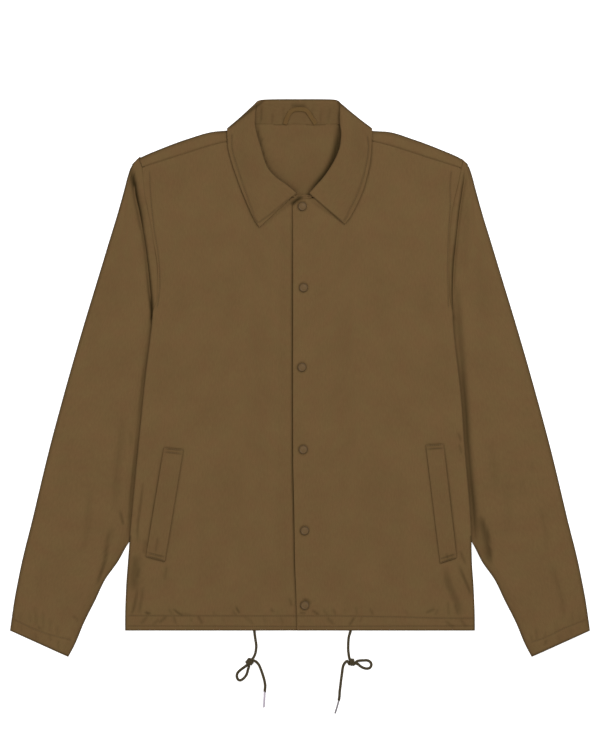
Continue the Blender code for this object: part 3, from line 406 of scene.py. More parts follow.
SLEEVE_CREASES = (
    (((-254.8, -51.5), (-256.7, -88.7), (-261.7, -120.1), (-263.8, -160.2), (-266, -191.6)),
     6.5, 3.6, -0.8, 0.16),
    (((-257.7, -188.8), (-255.3, -198.8), (-252.3, -211.6)), 2, 2, -0.7, 0.38),
    (((-267.1, -211.6), (-275.4, -235.9), (-278.8, -260.3), (-285.3, -281.7), (-290.9, -298.9)),
     2.6, 2.6, -1, 0.45),
    (((-300.7, -154.4), (-302.3, -200.2), (-308.3, -238.8), (-316.6, -254.5)), 4.6, 4.6, -0.6, 0.12),
    (((-326, -338.9), (-315.2, -348.3)), 2, 2, -0.4, 0.2),
    (((-242.4, -74.4), (-241, -97.2)), 4, 4, -0.4, 0.12),
    (((-291.7, 111.5), (-297.4, 47.2), (-303.2, -20)), 9, 7, -0.5, 0.03),
    (((-328.9, -74.4), (-337.5, -138.7), (-343.2, -203.1)), 8, 8, -0.5, 0.03),
    (((-366.1, -260.3), (-371.8, -296), (-374.7, -323.2)), 7, 6, -0.5, 0.05),
    (((-334.6, -303.2), (-343.2, -334.6), (-346.1, -357.5)), 6, 5, 0.5, 0),
    (((-378.7, -326), (-376.7, -354.6)), 2, 2, -0.5, 0.16),
    (((-367.5, -333.2), (-366.7, -360.4)), 2, 2, -0.5, 0.16),
    (((-358.1, -341.8), (-357.5, -364.6)), 2, 2, -0.4, 0.14),
    (((-387, -333.2), (-384.4, -350.3)), 1.8, 1.8, -0.35, 0.1),
    (((-400.4, -331.8), (-398.4, -347.5)), 1.8, 1.8, -0.3, 0.08),
    (((-347.2, -351.8), (-346.3, -370.4)), 1.9, 1.9, -0.4, 0.14),
    (((-373.2, -355.5), (-372.1, -360.1)), 1.8, 1.8, -0.4, 0.3),
    (((-377.5, -364.6), (-378.4, -374.7)), 1.8, 1.8, -0.4, 0.16),
    (((-358.1, -366.1), (-356.6, -376.9)), 1.8, 1.8, -0.4, 0.16),
    (((-345.2, -374.7), (-346.1, -389)), 1.8, 1.8, -0.4, 0.18),
    (((-397.5, -352.6), (-399.5, -363.2)), 1.8, 1.8, -0.3, 0.1),
    (((257.7, -194.5), (265.4, -215.2), (270.3, -237), (273.7, -267.4)), 2.4, 8.5, -1.1, 0.6),
    (((342.2, -181.6), (350.1, -215.2), (355.2, -248.8)), 3.2, 3.2, -0.5, 0.12),
    (((358.4, -264.6), (366.9, -292.4), (374.2, -316.7), (377.2, -347.5)), 3.6, 3.2, -0.8, 0.17),
    (((271.7, -88.7), (277.4, -131.6), (282.3, -165.9)), 5.5, 5.5, -0.6, 0.1),
    (((317.2, -147.3), (318.3, -168.7)), 2.2, 2.2, -0.4, 0.14),
    (((331.8, -120.1), (333.2, -137.3)), 2.6, 2.6, -0.3, 0.08),
    (((293.1, -131.6), (297.4, -174.5), (296, -231.7)), 7, 7, -0.4, 0.06),
    (((238.1, 261.7), (236.5, 200.2), (232.2, 140.1)), 6, 8, -0.5, 0.1),
    (((251.7, 183), (260.3, 111.5), (266, 40)), 8, 8, -0.5, 0.04),
    (((307.4, 111.5), (320.3, 40), (328.9, -28.6)), 8, 10, -0.5, 0.03),
    (((337.5, -356.1), (338.6, -376.7)), 1.9, 1.9, -0.5, 0.2),
    (((330.3, -366.1), (331.2, -377.5)), 1.8, 1.8, -0.4, 0.14),
    (((351.2, -361.8), (348.9, -373.2)), 1.9, 1.9, -0.4, 0.16),
    (((366.1, -348.9), (366.9, -364.6)), 1.9, 1.9, -0.35, 0.1),
    (((388.1, -333.2), (390.4, -351.8)), 1.9, 1.9, -0.35, 0.12),
    (((399, -331.8), (401.3, -347.5)), 1.8, 1.8, -0.3, 0.08),
    (((352.5, -373.2), (349.8, -383.2)), 2.2, 2, -0.45, 0.25),
    (((369.5, -366.1), (371.2, -378.9)), 1.9, 1.9, -0.35, 0.12),
    (((386.1, -357.5), (388.1, -370.4)), 1.9, 1.9, -0.35, 0.1),
)
# Valleys on the sleeves beside the body's folded edges, darkened to near black by painted shade
SIDE_VALLEYS = (
    (((-242.2, 300.3), (-237.4, 277.4), (-233.1, 254.5), (-228.5, 231.7), (-225.1, 208.8)),
     3.6, 3.6, -1.6, 1.0),
    (((-226.2, 217.4), (-220.8, 183), (-217.1, 151.6)), 2.0, 2.0, -0.8, 0.8),
    (((-219.1, 171.6), (-215.5, 133), (-212.8, 104.4), (-212.2, 80.1), (-215.4, 51.5)),
     2.7, 2.4, -1.6, 1.0),
    (((-214.2, 71.5), (-218.8, 32.9), (-224.2, -4.3), (-228.5, -45.8), (-230.8, -77.2)),
     2.0, 2.0, -0.8, 0.85),
    (((-229.7, -60.1), (-233.7, -103), (-238.1, -140.1), (-241.7, -181.6), (-244.2, -238.8)),
     2.3, 2.3, -0.9, 0.95),
    (((234.8, 294.6), (231.1, 266), (226.8, 237.4), (223.7, 203.1)), 1.5, 1.5, -0.5, 0.35),
    (((225.4, 214.5), (221.1, 185.9), (218.2, 163), (217.6, 133), (217.9, 97.2)), 1.7, 1.7, -0.6, 0.5),
    (((223.8, 133), (226.7, 82.9), (229.5, 40), (233.1, -2.9), (235.9, -42.9)), 5.5, 5.5, -0.9, 0.3),
    (((218.2, 111.5), (220.8, 71.5), (223.9, 37.2), (228.8, 0), (233.1, -34.3)), 1.9, 1.6, -0.6, 0.5),
    (((223.3, 31.5), (229.2, -10), (233.9, -48.6), (236.9, -97.2), (240.7, -143), (245.8, -188.8),
      (249.6, -243.1)), 6.0, 4.6, -1.5, 1.0),
    (((229, -30), (232.9, -60), (237.2, -110), (241.2, -160), (245.4, -225)), 2.4, 2.4, -0.5, 0.8),
)
# Painted shadows on the back's inner face, which the neck opening shows; only how dark they are is used
NECK_SHADOWS = (
    (((56.6, 366), (54.6, 345), (50.6, 325), (44.6, 308), (35.6, 292), (22.7, 276), (8, 258)),
     6.4, 4.6, -0.3, 0.95),
    (((57.6, 392), (57.8, 372), (56.8, 350)), 2.4, 2.4, -0.2, 0.5),
    (((-63.2, 368.9), (-58.6, 340.3), (-50, 308.9), (-41.5, 291.7), (-25.7, 278), (-5.7, 263.1)),
     2, 1.5, -0.2, 0.5),
    (((-58.6, 345.5), (-52.1, 338.9)), 1.7, 1.7, -0.5, 0.35),
    (((-59.2, 336.9), (-52.9, 336.3)), 1.6, 1.6, -0.4, 0.3),
)
COLLAR_CREASES = (
    (((-54.9, 391.8), (-55.8, 363.2)), 1.5, 1.5, -0.4, 0.35),
    (((-39.2, 380.4), (-40, 361.8)), 1.5, 1.5, -0.35, 0.2),
    (((29.5, 384.7), (29.5, 361.8)), 1.5, 1.5, -0.35, 0.2),
    (((43.5, 387.5), (40, 364.6)), 1.7, 1.7, -0.35, 0.16),
    (((17.7, 386.1), (16.9, 364.6)), 1.5, 1.5, -0.3, 0.14),
    (((-23.7, 389), (-24.3, 363.2)), 1.4, 1.4, -0.3, 0.14),
    (((-47.2, 389), (-47.8, 363.2)), 2, 2, 0.35, 0),
    (((36.5, 389), (35, 363.2)), 2, 2, 0.35, 0),
    (((-14.3, 388.1), (-2.9, 389.2), (10, 388.1)), 3.2, 3.2, -0.2, 0.42),
    (((-81.5, 371.8), (-87.2, 326), (-75.8, 276)), 9, 9, -0.5, 0.04),
    (((80.1, 371.8), (82.9, 326), (71.5, 276)), 9, 9, -0.5, 0.04),
)

# Sewn lines: the cloth they hold, the way it faces there, and the line
SEAM_COLUMNS = ("cloth", "facing", "path")
SEAMS = (
    ("front_right", "up", ((-247.1, -339.8), (-143, -340.1), (-57.2, -340.3), (-2.9, -340.3))),
    ("front_right", "up", ((-4.5, 259.4), (4, 259.8), (13.6, 259.8))),
    ("front_right", "up", ((-247.4, -354.6), (-143, -354.9), (-2.9, -355.5))),
    ("front_left", "up", ((-7.7, -340.3), (57.2, -340.3), (143, -341.8), (200.2, -343.2),
        (249.7, -343.2))),
    ("front_left", "up", ((-4.3, -355.5), (143, -354.9), (250, -354.6))),
    ("front_right", "up", ((-215.1, 296), (-214.2, 271.7), (-212.2, 246), (-207.9, 208.8),
        (-203.6, 183), (-200.8, 154.4), (-200.8, 125.8), (-204.2, 100.1))),
    ("front_left", "up", ((216.5, 296), (214.5, 277.4), (214.8, 244.5), (212.5, 211.6), (211.5, 183),
        (211.4, 147.3), (212.2, 100.1))),
    ("collar", "up", ((-97.2, 348.9), (-97, 328), (-89.5, 300.7), (-77.8, 266.4), (-66.2, 233.7),
        (-60.1, 221.4))),
    ("collar", "up", ((-59.2, 221.9), (-41.5, 234.9), (-25.2, 248.8), (-10.6, 260))),
    ("collar", "up", ((96.4, 346.1), (98, 328), (95.2, 308.9), (88.4, 281.7), (80.1, 259.7),
        (67.9, 233.7), (62.3, 222.7))),
    ("collar", "up", ((61.5, 223.2), (43.3, 236.4), (22.7, 252.8), (15.4, 258))),
    ("sleeve_right", "up", ((-408.7, -345.8), (-374.7, -361.2), (-350.3, -368.9), (-326.6, -374.9))),
    ("sleeve_left", "up", ((409.6, -345.8), (378.9, -357.5), (354.6, -369.5), (329.8, -378.4))),
    ("sleeve_right", "down", ((-408.1, -346.3), (-374.7, -362.4), (-350.3, -371.8), (-328.9, -376.9))),
    ("sleeve_left", "down", ((409, -346.3), (378.9, -358.9), (354.6, -370.9), (330.9, -378.4))),
    ("back", "down", ((-246.5, -340.3), (0, -340.3), (248.8, -340.3))),
    ("back", "down", ((-246.8, -354.9), (0, -354.9), (249.4, -354.9))),
)
SEAM_FADE = 0.02
SEAM_WIDTH = 1.1
SEAM_DEPTH = 0.3
# Painted shade along the grooves of the sewn lines, by cloth, and on the cuffs
SEAM_SHADES = {"collar": 0.34, "front_left": 0.24, "front_right": 0.24, "back": 0.2}
CUFF_SEAM_SHADE = 0.15

# Painted shade where a cloth leans, along its rims, and all over some cloths; the collar's stand
# is the part that shows inside the back neck
EDGE_SHADE = 0.85
LEAN_POWER = 0.7
RIM_WIDTH = 2.0
RIM_SHADE = 0.6
RIM_FADE = 0.01
COLLAR_RIM = ((0, 398.6), (48, 398.4), (58, 392.0), (102.5, 357.4))
WELT_SHADE = 0.04
INSIDE_SHADE = 0.07
COLLAR_SHADE = 0.04
STAND_SHADE = 0.14
STAND_HALF = 60
STAND_FROM_Y = 361
STAND_TO_Y = 393

# Lines along pieces' edges on the cloth below them, pressed in and given painted shadow: width,
# depth and painted shade, and how far out from the piece's edge they run
PLACKET_SHADOW = (1.9, 0.0, 0.75)
PLACKET_SHADOW_OUT = 0.6
WELT_SHADOWS = {"outer": (1.8, -0.2, 0.42), "inner": (1.5, -0.2, 0.2), "end": (1.4, -0.2, 0.3)}
SNAP_HOLLOW = (1.4, -0.25, 0.42)
SNAP_HOLLOW_OUT = 0.7

# The two sewn lines at a welt's end: distances from the end, and width, depth and painted shade
WELT_END_LINES = (1.2, 6.2)
WELT_END_CREASE = (1.2, -0.25, 0.5)

# Stitches: share along the stitch, width and rise of each section, and the steepest and lowest
# place that has one
STITCH_SECTIONS = ((0.0, 0.55, -0.5), (0.22, 1.0, 0.25), (0.78, 1.0, 0.25), (1.0, 0.55, -0.5))
STITCH_LENGTH = 2.3
STITCH_PITCH = 3.1
STITCH_STEEPEST = 1.5
STITCH_LOWEST = 0.02
THREAD_WIDTH = 0.5

# Height in metres from which rays look for a cloth's surface
RAY_START = 0.05

# Knots: height of their middle and of the cord inside, rise and reach of the turns round it, where
# along the loop's way the turns start and end, and how far loop and tail are lifted at the knot
KNOT_HEIGHT = 4.25
KNOT_INSIDE = 3.9
KNOT_RISE = 2.2
KNOT_REACH = 3.7
KNOT_ENDS = (2.4, -2.8)
KNOT_STEPS = 20
LOOP_LIFT = 0.9
TAIL_LIFT = 1.6

# Ends of cord and tip, as shares of their radius, and the tip's lip
CORD_END_SHARE = 0.9
TIP_END_SHARE = 0.8
TIP_LIP = 0.15

# Painted shadows of the collar's two points on the fronts
LEAF_SHADOWS = (
    (((-105, 349), (-103.4, 334.6), (-95.4, 300.9), (-85.2, 271.7), (-72.1, 239.7), (-63.3, 220.6),
      (-58.2, 214.1)), 1.6, 1.6, 0, 0.3),
    (((-58.2, 215.1), (-50.1, 219.8), (-27.2, 239.2), (-12.3, 251.4), (-5.7, 259.1)),
     1.3, 1.3, 0, 0.25),
    (((-13.6, 246.6), (-9.4, 250.4), (-4.4, 254.6), (0.6, 257.6), (5, 259)), 3.0, 3.0, 0, 0.9),
    (((103, 338.9), (101.5, 311.2), (95.8, 286), (88.7, 263.1), (73.8, 233.8), (64.4, 219.2)),
     1.6, 1.6, 0, 0.34),
    (((64.4, 220.2), (51.5, 229.4), (31.5, 242.2), (21.5, 249.6), (12.6, 256.3)), 1.4, 1.4, 0, 0.34),
)

# Snap caps: radius and height of each ring from the cloth up, and how round they are
SNAP_PROFILE = (
    (6.0, -0.3), (6.2, 0.5), (6.1, 1.0), (5.7, 1.35), (5.2, 1.45), (4.8, 1.3), (4.5, 1.05),
    (4.1, 1.0), (3.4, 1.25), (2.4, 1.45), (1.2, 1.55), (0.3, 1.58),
)
SNAP_SIDES = 40
# Radius outside which the cap's rings get painted shade, and how much
SNAP_BOWL_RADIUS = 5.0
SNAP_RIM_SHADE = 0.45


def row_values(table, column):
    """The (first column, named column) pairs of a side table."""
    index = SIDE_COLUMNS.index(column)
    return [(row[0], row[index]) for row in table]


def bend(t, span, start, end, slope_start, slope_end):
    """Value at t, from 0 to 1, on the cubic curve between two values with known slopes."""
    return (
        (2 * t ** 3 - 3 * t ** 2 + 1) * start
        + (t ** 3 - 2 * t ** 2 + t) * span * slope_start
        + (3 * t ** 2 - 2 * t ** 3) * end
        + (t ** 3 - t ** 2) * span * slope_end
    )


def smooth(points, at):
    """Read a smooth curve through (position, value) points, held level past its ends."""
    if at <= points[0][0]:
        return points[0][1]
    if at >= points[-1][0]:
        return points[-1][1]
    index = 0
    while points[index + 1][0] < at:
        index += 1
    start, end = points[index], points[index + 1]
    before = points[max(index - 1, 0)]
    after = points[min(index + 2, len(points) - 1)]
    span = end[0] - start[0]
    slope_start = (end[1] - before[1]) / (end[0] - before[0])
    slope_end = (after[1] - start[1]) / (after[0] - start[0])
    return bend((at - start[0]) / span, span, start[1], end[1], slope_start, slope_end)


def straight(points, at):
    """Read a broken line through (position, value) points, held level past its ends."""
    if at <= points[0][0]:
        return points[0][1]
    for start, end in zip(points, points[1:]):
        if at <= end[0]:
            return start[1] + (end[1] - start[1]) * (at - start[0]) / (end[0] - start[0])
    return points[-1][1]


def mix(start, end, t):
    """The value at t between start, where t is 0, and end, where t is 1."""
    return start + (end - start) * t


def ease(t):
    """Rise from 0 to 1 with level ends."""
    t = min(max(t, 0.0), 1.0)
    return t * t * (3 - 2 * t)


def curve_points(points, step):
    """Evenly spaced points on a smooth curve through flat points."""
    dense = []
    count = len(points)
    for index in range(count - 1):
        before = Vector(points[max(index - 1, 0)])
        start = Vector(points[index])
        end = Vector(points[index + 1])
        after = Vector(points[min(index + 2, count - 1)])
        for part in range(12):
            t = part / 12
            dense.append(0.5 * (
                2 * start + (end - before) * t
                + (2 * before - 5 * start + 4 * end - after) * t ** 2
                + (3 * start - before - 3 * end + after) * t ** 3
            ))
    dense.append(Vector(points[-1]))
    lengths = [0.0]
    for start, end in zip(dense, dense[1:]):
        lengths.append(lengths[-1] + (end - start).length)
    pieces = max(2, round(lengths[-1] / step))
    result = []
    index = 0
    for piece in range(pieces + 1):
        target = lengths[-1] * piece / pieces
        while index < len(dense) - 2 and lengths[index + 1] < target:
            index += 1
        span = lengths[index + 1] - lengths[index]
        result.append(dense[index].lerp(dense[index + 1], (target - lengths[index]) / span))
    return result


class Side:
    """One side of the body: its sign along X and its edges as functions of height."""

    def __init__(self, sign, table):
        self.sign = sign
        self.fold_points = row_values(table, "fold")
        self.seam_points = row_values(table, "seam")

    def fold(self, y):
        return smooth(self.fold_points, y)

    def seam(self, y):
        return min(smooth(self.seam_points, y), self.fold(y))

    def tuck(self, y):
        return smooth(SLEEVE_TUCK, y)


LEFT = Side(1, SIDE_LEFT)
RIGHT = Side(-1, SIDE_RIGHT)


def top_level(x):
    """Height of the upper layer away from its edges: the garment is fuller at its sides."""
    return mix(TOP_CENTRE, TOP_SIDE, ease(abs(x) / TOP_RISE))


def top_height(side, x, y):
    """Height of the body's upper layer, rolled down along the folded side edge."""
    inside = side.fold(y) - abs(x)
    level = top_level(x)
    if inside >= ROLL_WIDTH:
        return level
    reach = 1 - max(inside, 0.0) / ROLL_WIDTH
    return level - ROLL_DROP * (1 - math.sqrt(1 - reach * reach))


def column_heights(rows, last, top):
    """Spread the shared rows, which end at last, over a column that ends at top."""
    scale = (top - HEM_Y) / (last - HEM_Y)
    return [HEM_Y + (y - HEM_Y) * scale for y in rows + (last,)]


def raised_floor(x, y):
    """Height of the back panel away from its sides: it rides over the collar's hidden fall."""
    along = ease((y - RAISED_FROM_Y) / RAISED_RISE)
    across = 1 - ease((abs(x) - RAISED_HALF) / RAISED_SLOPE)
    return mix(FLOOR_LAYER, RAISED_BACK, along * across)


def shelf_width(side, y):
    """How far the back's edge lies on the sleeve's tucked edge."""
    return max(side.tuck(y), 0.0) + 2.0


def back_height(side, inside, x, y):
    """Height of the back panel at a distance inside its edge."""
    floor = raised_floor(x, y)
    if y > UNDERARM_Y:
        crest = mix(UNDERARM_CREST, floor, ease((y - ARMHOLE_Y) / 22))
        return mix(crest, floor, ease(inside / 7))
    if y > SHELF_Y:
        shelf = shelf_width(side, y)
        if inside <= shelf:
            return straight(SHELF_PROFILE, inside)
        return mix(BACK_SHELF, floor, ease((inside - shelf) / SHELF_RAMP))
    return straight(HEM_SIDE_PROFILE + ((HEM_SIDE_WIDTH, floor),), inside)


def back_edge(side, y):
    """The back's outer edge: the side seam below the underarm, the armhole seam above it."""
    if y <= UNDERARM_Y:
        return side.fold(y)
    return side.seam(y) - mix(0.9, 0.0, ease((y - ARMHOLE_Y) / 12))


def back_insets(side, y):
    """Distances from the back's edge to its outermost columns, widest first."""
    if SHELF_Y < y <= UNDERARM_Y:
        shelf = shelf_width(side, y)
        return (shelf + SHELF_RAMP, shelf + SHELF_RAMP / 2, shelf, 1.6, 0.6, 0.0)
    return ARMHOLE_INSETS if y > UNDERARM_Y else HEM_INSETS


def back_rows():
    """The back, in columns from the wearer's right to the left."""
    insets = range(len(back_insets(LEFT, 0.0)))
    columns = [back_column(RIGHT, inset, None) for inset in reversed(insets)]
    columns += [back_column(RIGHT, None, share) for share in BACK_SHARES]
    columns.append(back_column(LEFT, None, 0.0))
    columns += [back_column(LEFT, None, share) for share in reversed(BACK_SHARES)]
    columns += [back_column(LEFT, inset, None) for inset in insets]
    height = max(len(column) for column in columns)
    return [
        [column[level] if level < len(column) else None for column in columns]
        for level in range(height)
    ]


def back_column(side, inset_index, fraction):
    """Points of one column of the back, from the hem up and over the shoulder edge."""
    widest = back_insets(side, SHOULDER_END_Y)[0]
    shoulder_width = back_edge(side, SHOULDER_END_Y)
    if inset_index is None:
        x_top = fraction * (shoulder_width - widest)
    else:
        x_top = shoulder_width - back_insets(side, SHOULDER_END_Y)[inset_index]
    wraps = x_top > NECK_CORNER_X - 1
    radius = (top_level(x_top) - raised_floor(x_top, 360)) / 2
    if wraps:
        top = smooth(SHOULDER_EDGE, x_top) - radius
    else:
        top = smooth(BACK_NECK, x_top)
    points = []
    for y in column_heights(ROWS + (FRONT_SIDE_TOP_Y,), SHOULDER_END_Y, top):
        edge = back_edge(side, y)
        insets = back_insets(side, y)
        if inset_index is None:
            across = fraction * (edge - insets[0])
        else:
            across = edge - insets[inset_index]
        z = back_height(side, edge - across, across, y)
        points.append((side.sign * across, y, z))
    if wraps:
        low = points[-1][2]
        high = top_height(side, across, top)
        for angle in (45, 90, 135, 180):
            turn = math.radians(angle)
            lift = (1 - math.cos(turn)) / 2
            points.append((side.sign * across, top + radius * math.sin(turn), mix(low, high, lift)))
        seam = smooth(FORWARD_SEAM, across) + GAP
        if inset_index is not None:
            across_seam = back_edge(side, seam) - back_insets(side, seam)[inset_index]
            seam = smooth(FORWARD_SEAM, across_seam) + GAP
        for y in (mix(top, seam, 0.5), seam):
            if inset_index is not None:
                across = back_edge(side, y) - back_insets(side, y)[inset_index]
            points.append((side.sign * across, y, high))
    return points


def front_top(side, x):
    """Upper edge of a front at a distance past the centre line: neckline, then shoulder seam."""
    if x < NECK_CORNER_X:
        return straight(UPPER_FRONT_NECK if side is LEFT else LOWER_FRONT_NECK, x)
    return smooth(FORWARD_SEAM, x) - GAP


def front_height(side, x, y):
    """Height of a front panel; under the placket the lower front dips."""
    out = side.sign * x
    level = top_height(side, x, y)
    if side is LEFT:
        rise = 1 - ease((out + PLACKET_RISE[0]) / PLACKET_RISE[1])
        return mix(level, PLACKET_LAYER, rise)
    dip = ease((out + PLACKET_DIP[0]) / PLACKET_DIP[1])
    return mix(level, UNDER_PLACKET, dip)


def front_rows(side):
    """A front panel, in columns from its centre edge out to the side and armhole seam."""
    places = FRONT_LEFT_COLUMNS if side is LEFT else FRONT_RIGHT_COLUMNS
    inner_width = side.seam(FRONT_SIDE_TOP_Y) - FRONT_INSETS[0]
    columns = [(place, None) for place in places]
    columns += [(side.seam(FRONT_SIDE_TOP_Y) - inset, inset) for inset in FRONT_INSETS]
    grid = []
    for x_top, inset in columns:
        column = []
        top = front_top(side, x_top)
        share = (x_top - places[0]) / (inner_width - places[0])
        lean = share * (side.seam(FRONT_SIDE_TOP_Y) - side.seam(min(top, FRONT_SIDE_TOP_Y)))
        for y in column_heights(ROWS, FRONT_SIDE_TOP_Y, top):
            centre = smooth(PLACKET_EDGE, y) if side is LEFT else places[0]
            edge = side.seam(min(y, FRONT_SIDE_TOP_Y))
            if inset is None:
                x = mix(centre, edge - FRONT_INSETS[0], share)
                x += lean * (y - HEM_Y) / (top - HEM_Y)
            else:
                x = edge - inset
            column.append((side.sign * x, y, front_height(side, x, y)))
        sewn = column[-1]
        on_shoulder = x_top > NECK_CORNER_X - 1 and (inset is None or inset > 2)
        for beyond, lower in SHOULDER_TUCK:
            column.append((sewn[0], sewn[1] + beyond, sewn[2] - lower) if on_shoulder else None)
        grid.append(column)
    return [[column[level] for column in grid] for level in range(len(grid[0]))]


def sleeve_sections(side):
    """Inner and outer height of each section, from the shoulder to the cuff."""
    first = (SHOULDER_END_Y - SHOULDER_SECTION[0], SHOULDER_END_Y - SHOULDER_SECTION[1])
    sections = [first, (FRONT_SIDE_TOP_Y, FRONT_SIDE_TOP_Y)]
    for y in reversed(ROWS):
        if y >= STRAIGHT_SECTIONS_ABOVE:
            sections.append((y, y))
    scale = (STRAIGHT_SECTIONS_ABOVE - CUFF_OUTER_Y) / (STRAIGHT_SECTIONS_ABOVE - CUFF_INNER_Y)
    for y in reversed(LOWER_SLEEVE_ROWS):
        sections.append((y, STRAIGHT_SECTIONS_ABOVE + (y - STRAIGHT_SECTIONS_ABOVE) * scale))
    return sections


def sewn_ends(side, y, fold, room, level, fullness):
    """Both ends of a section above the underarm, where the sleeve is sewn to the body.

    An end is a list of (distance out from the body's fold, height). The lower one lies on the
    ground. The upper one drops into a valley beside the fold, runs over the fold to the armhole
    seam and ends tucked under the front.
    """
    seam = side.seam(y) - fold + GAP
    near = ease((y - ARMHOLE_Y) / 22)
    crest = mix(UNDERARM_CREST, SLEEVE_FLOOR, near)
    first = mix(0.4, seam, ease((y - ARMHOLE_Y) / 12))
    reach = min(6.0, mix(first, room, 0.35))
    head = [
        (mix(first, reach, share), mix(crest, SLEEVE_FLOOR, ease(share)))
        for share in (0, 0.3, 0.6, 1)
    ]
    foot = mix(TOP_SIDE, mix(3.4, 2.0, near), fullness)
    rolled = mix(TOP_SIDE, top_height(side, fold, y), fullness)
    valley = (
        (0.0, rolled), (0.9, mix(foot, rolled, 0.2)), (2.4, foot),
        (6.0, mix(foot, level, 0.6)), (14.0, level),
    )
    over_fold = (max(-0.4, mix(0.9, seam, 0.33)), max(-3.0, mix(0.9, seam, 0.66)))
    places = (14.0, 6.0, 2.4, 0.9) + over_fold + (seam,)
    tail = []
    for index, place in enumerate(places):
        even = mix(room, seam, (index + 1) / len(places))
        if place > 0:
            place *= min(1.0, room / 18)
        place = mix(even, place, ease((room - 4) / 16))
        if place > 0:
            z = straight(valley, place)
        else:
            z = mix(TOP_SIDE, top_height(side, fold + place, y), fullness)
        tail.append((place, z))
    deep = ease((y - ARMHOLE_Y) / 14)
    under = mix(0.4, SEAM_ALLOWANCE, deep)
    sewn = tail[-1][1]
    for share, low_drop, high_drop in SLEEVE_TUCK_DROPS:
        tail.append((seam - share * under, sewn - mix(low_drop, high_drop, deep)))
    return head, tail


def tucked_ends(y, tuck, level):
    """Both ends of a section below the underarm: the inner edge, tucked under the body's edge."""
    edge_top = mix(SLEEVE_EDGE_TOP, 4.0, ease((y - 76) / 17))
    middle = (SLEEVE_FLOOR + edge_top) / 2
    clear = max(tuck, 0.0)
    head = [
        (0.0, middle - GAP), (0.06, mix(SLEEVE_FLOOR, middle, 0.3)),
        (0.8, SLEEVE_FLOOR), (6.0, SLEEVE_FLOOR),
    ]
    tail = [
        (clear + 15.0, level), (clear + 7.0, mix(edge_top, level, 0.6)),
        (clear + 2.6, mix(edge_top, level, 0.1)), (max(clear * 0.5, 1.9), edge_top),
        (0.8, edge_top - 0.02), (0.3, mix(middle, edge_top, 0.94)),
        (0.12, mix(middle, edge_top, 0.84)), (0.06, mix(middle, edge_top, 0.7)),
        (0.03, mix(middle + GAP, edge_top, 0.3)), (0.0, middle + GAP),
    ]
    return head, tail


def sleeve_section(side, inner_y, outer_y):
    """Middle line of one section, from its lower inner edge out, round and back on top."""
    outer_x = smooth(SLEEVE_OUTER, outer_y)
    fold = min(side.fold(inner_y), outer_x - 3.2)
    open_section = inner_y > UNDERARM_Y
    tuck = 0.0 if open_section else side.tuck(inner_y)
    start = Vector((fold - tuck, inner_y, 0))
    end = Vector((outer_x, outer_y, 0))
    across = (end - start).normalized()
    width = (end - start).length
    fullness = 1.0
    if open_section:
        fullness = ease((SHOULDER_END_Y - inner_y) / SLEEVE_FILLS_OVER)
    level = mix(TOP_SIDE, SLEEVE_TOP, fullness)
    curl = (level - SLEEVE_FLOOR) / 2
    room = width - curl
    if open_section:
        head, tail = sewn_ends(side, inner_y, fold, room, level, fullness)
    else:
        head, tail = tucked_ends(inner_y, tuck, level)
    body = [(mix(6.0, width - 30, 0.5), SLEEVE_FLOOR), (width - 16, SLEEVE_FLOOR)]
    back = [(width - 16, level), (mix(tail[0][0], width - 16, 0.5), level)]
    if width < 60:
        body = [(mix(head[-1][0], room, 0.4), SLEEVE_FLOOR), (mix(head[-1][0], room, 0.7), SLEEVE_FLOOR)]
        back = [(mix(tail[0][0], room, 0.7), level), (mix(tail[0][0], room, 0.4), level)]
    round_edge = []
    for angle in (0, 36, 72, 108, 144, 180):
        turn = math.radians(angle)
        round_edge.append((room + curl * math.sin(turn), SLEEVE_FLOOR + curl * (1 - math.cos(turn))))
    line = head + body + round_edge + back + tail
    points = []
    for distance, z in line:
        place = start + across * distance
        points.append((side.sign * place.x, place.y, z))
    return points


def sleeve_rows(side):
    """A sleeve in sections from shoulder to cuff, after one that closes its end at the shoulder."""
    rows = [sleeve_section(side, inner_y, outer_y) for inner_y, outer_y in sleeve_sections(side)]
    heights = [z for _, _, z in rows[0]]
    middle = (min(heights) + max(heights)) / 2
    closed = [(x, y + SHOULDER_CLOSING, mix(middle, z, 0.2)) for x, y, z in rows[0]]
    return [closed] + rows


def collar_section(station, sign, outward):
    """One section of the collar: up the stand, round the roll and down the fall."""
    row = dict(zip(COLLAR_COLUMNS, station))
    angle = math.radians(row["turn"])
    up = Vector((0, 0, 1))
    across = -math.cos(angle) * up + math.sin(angle) * outward
    crown = math.cos(angle) * outward + math.sin(angle) * up
    centre = Vector((*row["roll"], row["roll_z"]))
    stand_end = centre - across * ROLL_RADIUS
    fall_start = centre + across * ROLL_RADIUS
    neck_point = Vector((*row["neck"], row["neck_z"]))
    edge_point = Vector((*row["edge"], row["edge_z"]))
    points = [neck_point.lerp(stand_end, t) for t in (0.0, 0.35, 0.7, 1.0)]
    for degrees in (50, 90, 130):
        step = math.radians(degrees)
        points.append(centre + ROLL_RADIUS * (math.sin(step) * crown - math.cos(step) * across))
    points += [fall_start.lerp(edge_point, t) for t in (0.0, 0.12, 0.4, 0.7, 1.0)]
    return [(sign * point.x, point.y, point.z) for point in points]


def outward_directions(stations):
    """Level direction away from the neck at each station, square to the roll line."""
    roll = COLLAR_COLUMNS.index("roll")
    result = []
    for index in range(len(stations)):
        before = Vector(stations[max(index - 1, 0)][roll])
        after = Vector(stations[min(index + 1, len(stations) - 1)][roll])
        along = (after - before).normalized()
        result.append(Vector((-along.y, along.x, 0)))
    result[0] = Vector((0, 1, 0))
    return result


def collar_rows():
    """The collar, section by section from its point at the wearer's right to that at the left."""
    right_stations = COLLAR_LEFT[:3] + COLLAR_RIGHT
    left_rows = [
        collar_section(station, 1, outward)
        for station, outward in zip(COLLAR_LEFT, outward_directions(COLLAR_LEFT))
    ]
    right_rows = [
        collar_section(station, -1, outward)
        for station, outward in zip(right_stations, outward_directions(right_stations))
    ]
    return right_rows[:0:-1] + left_rows


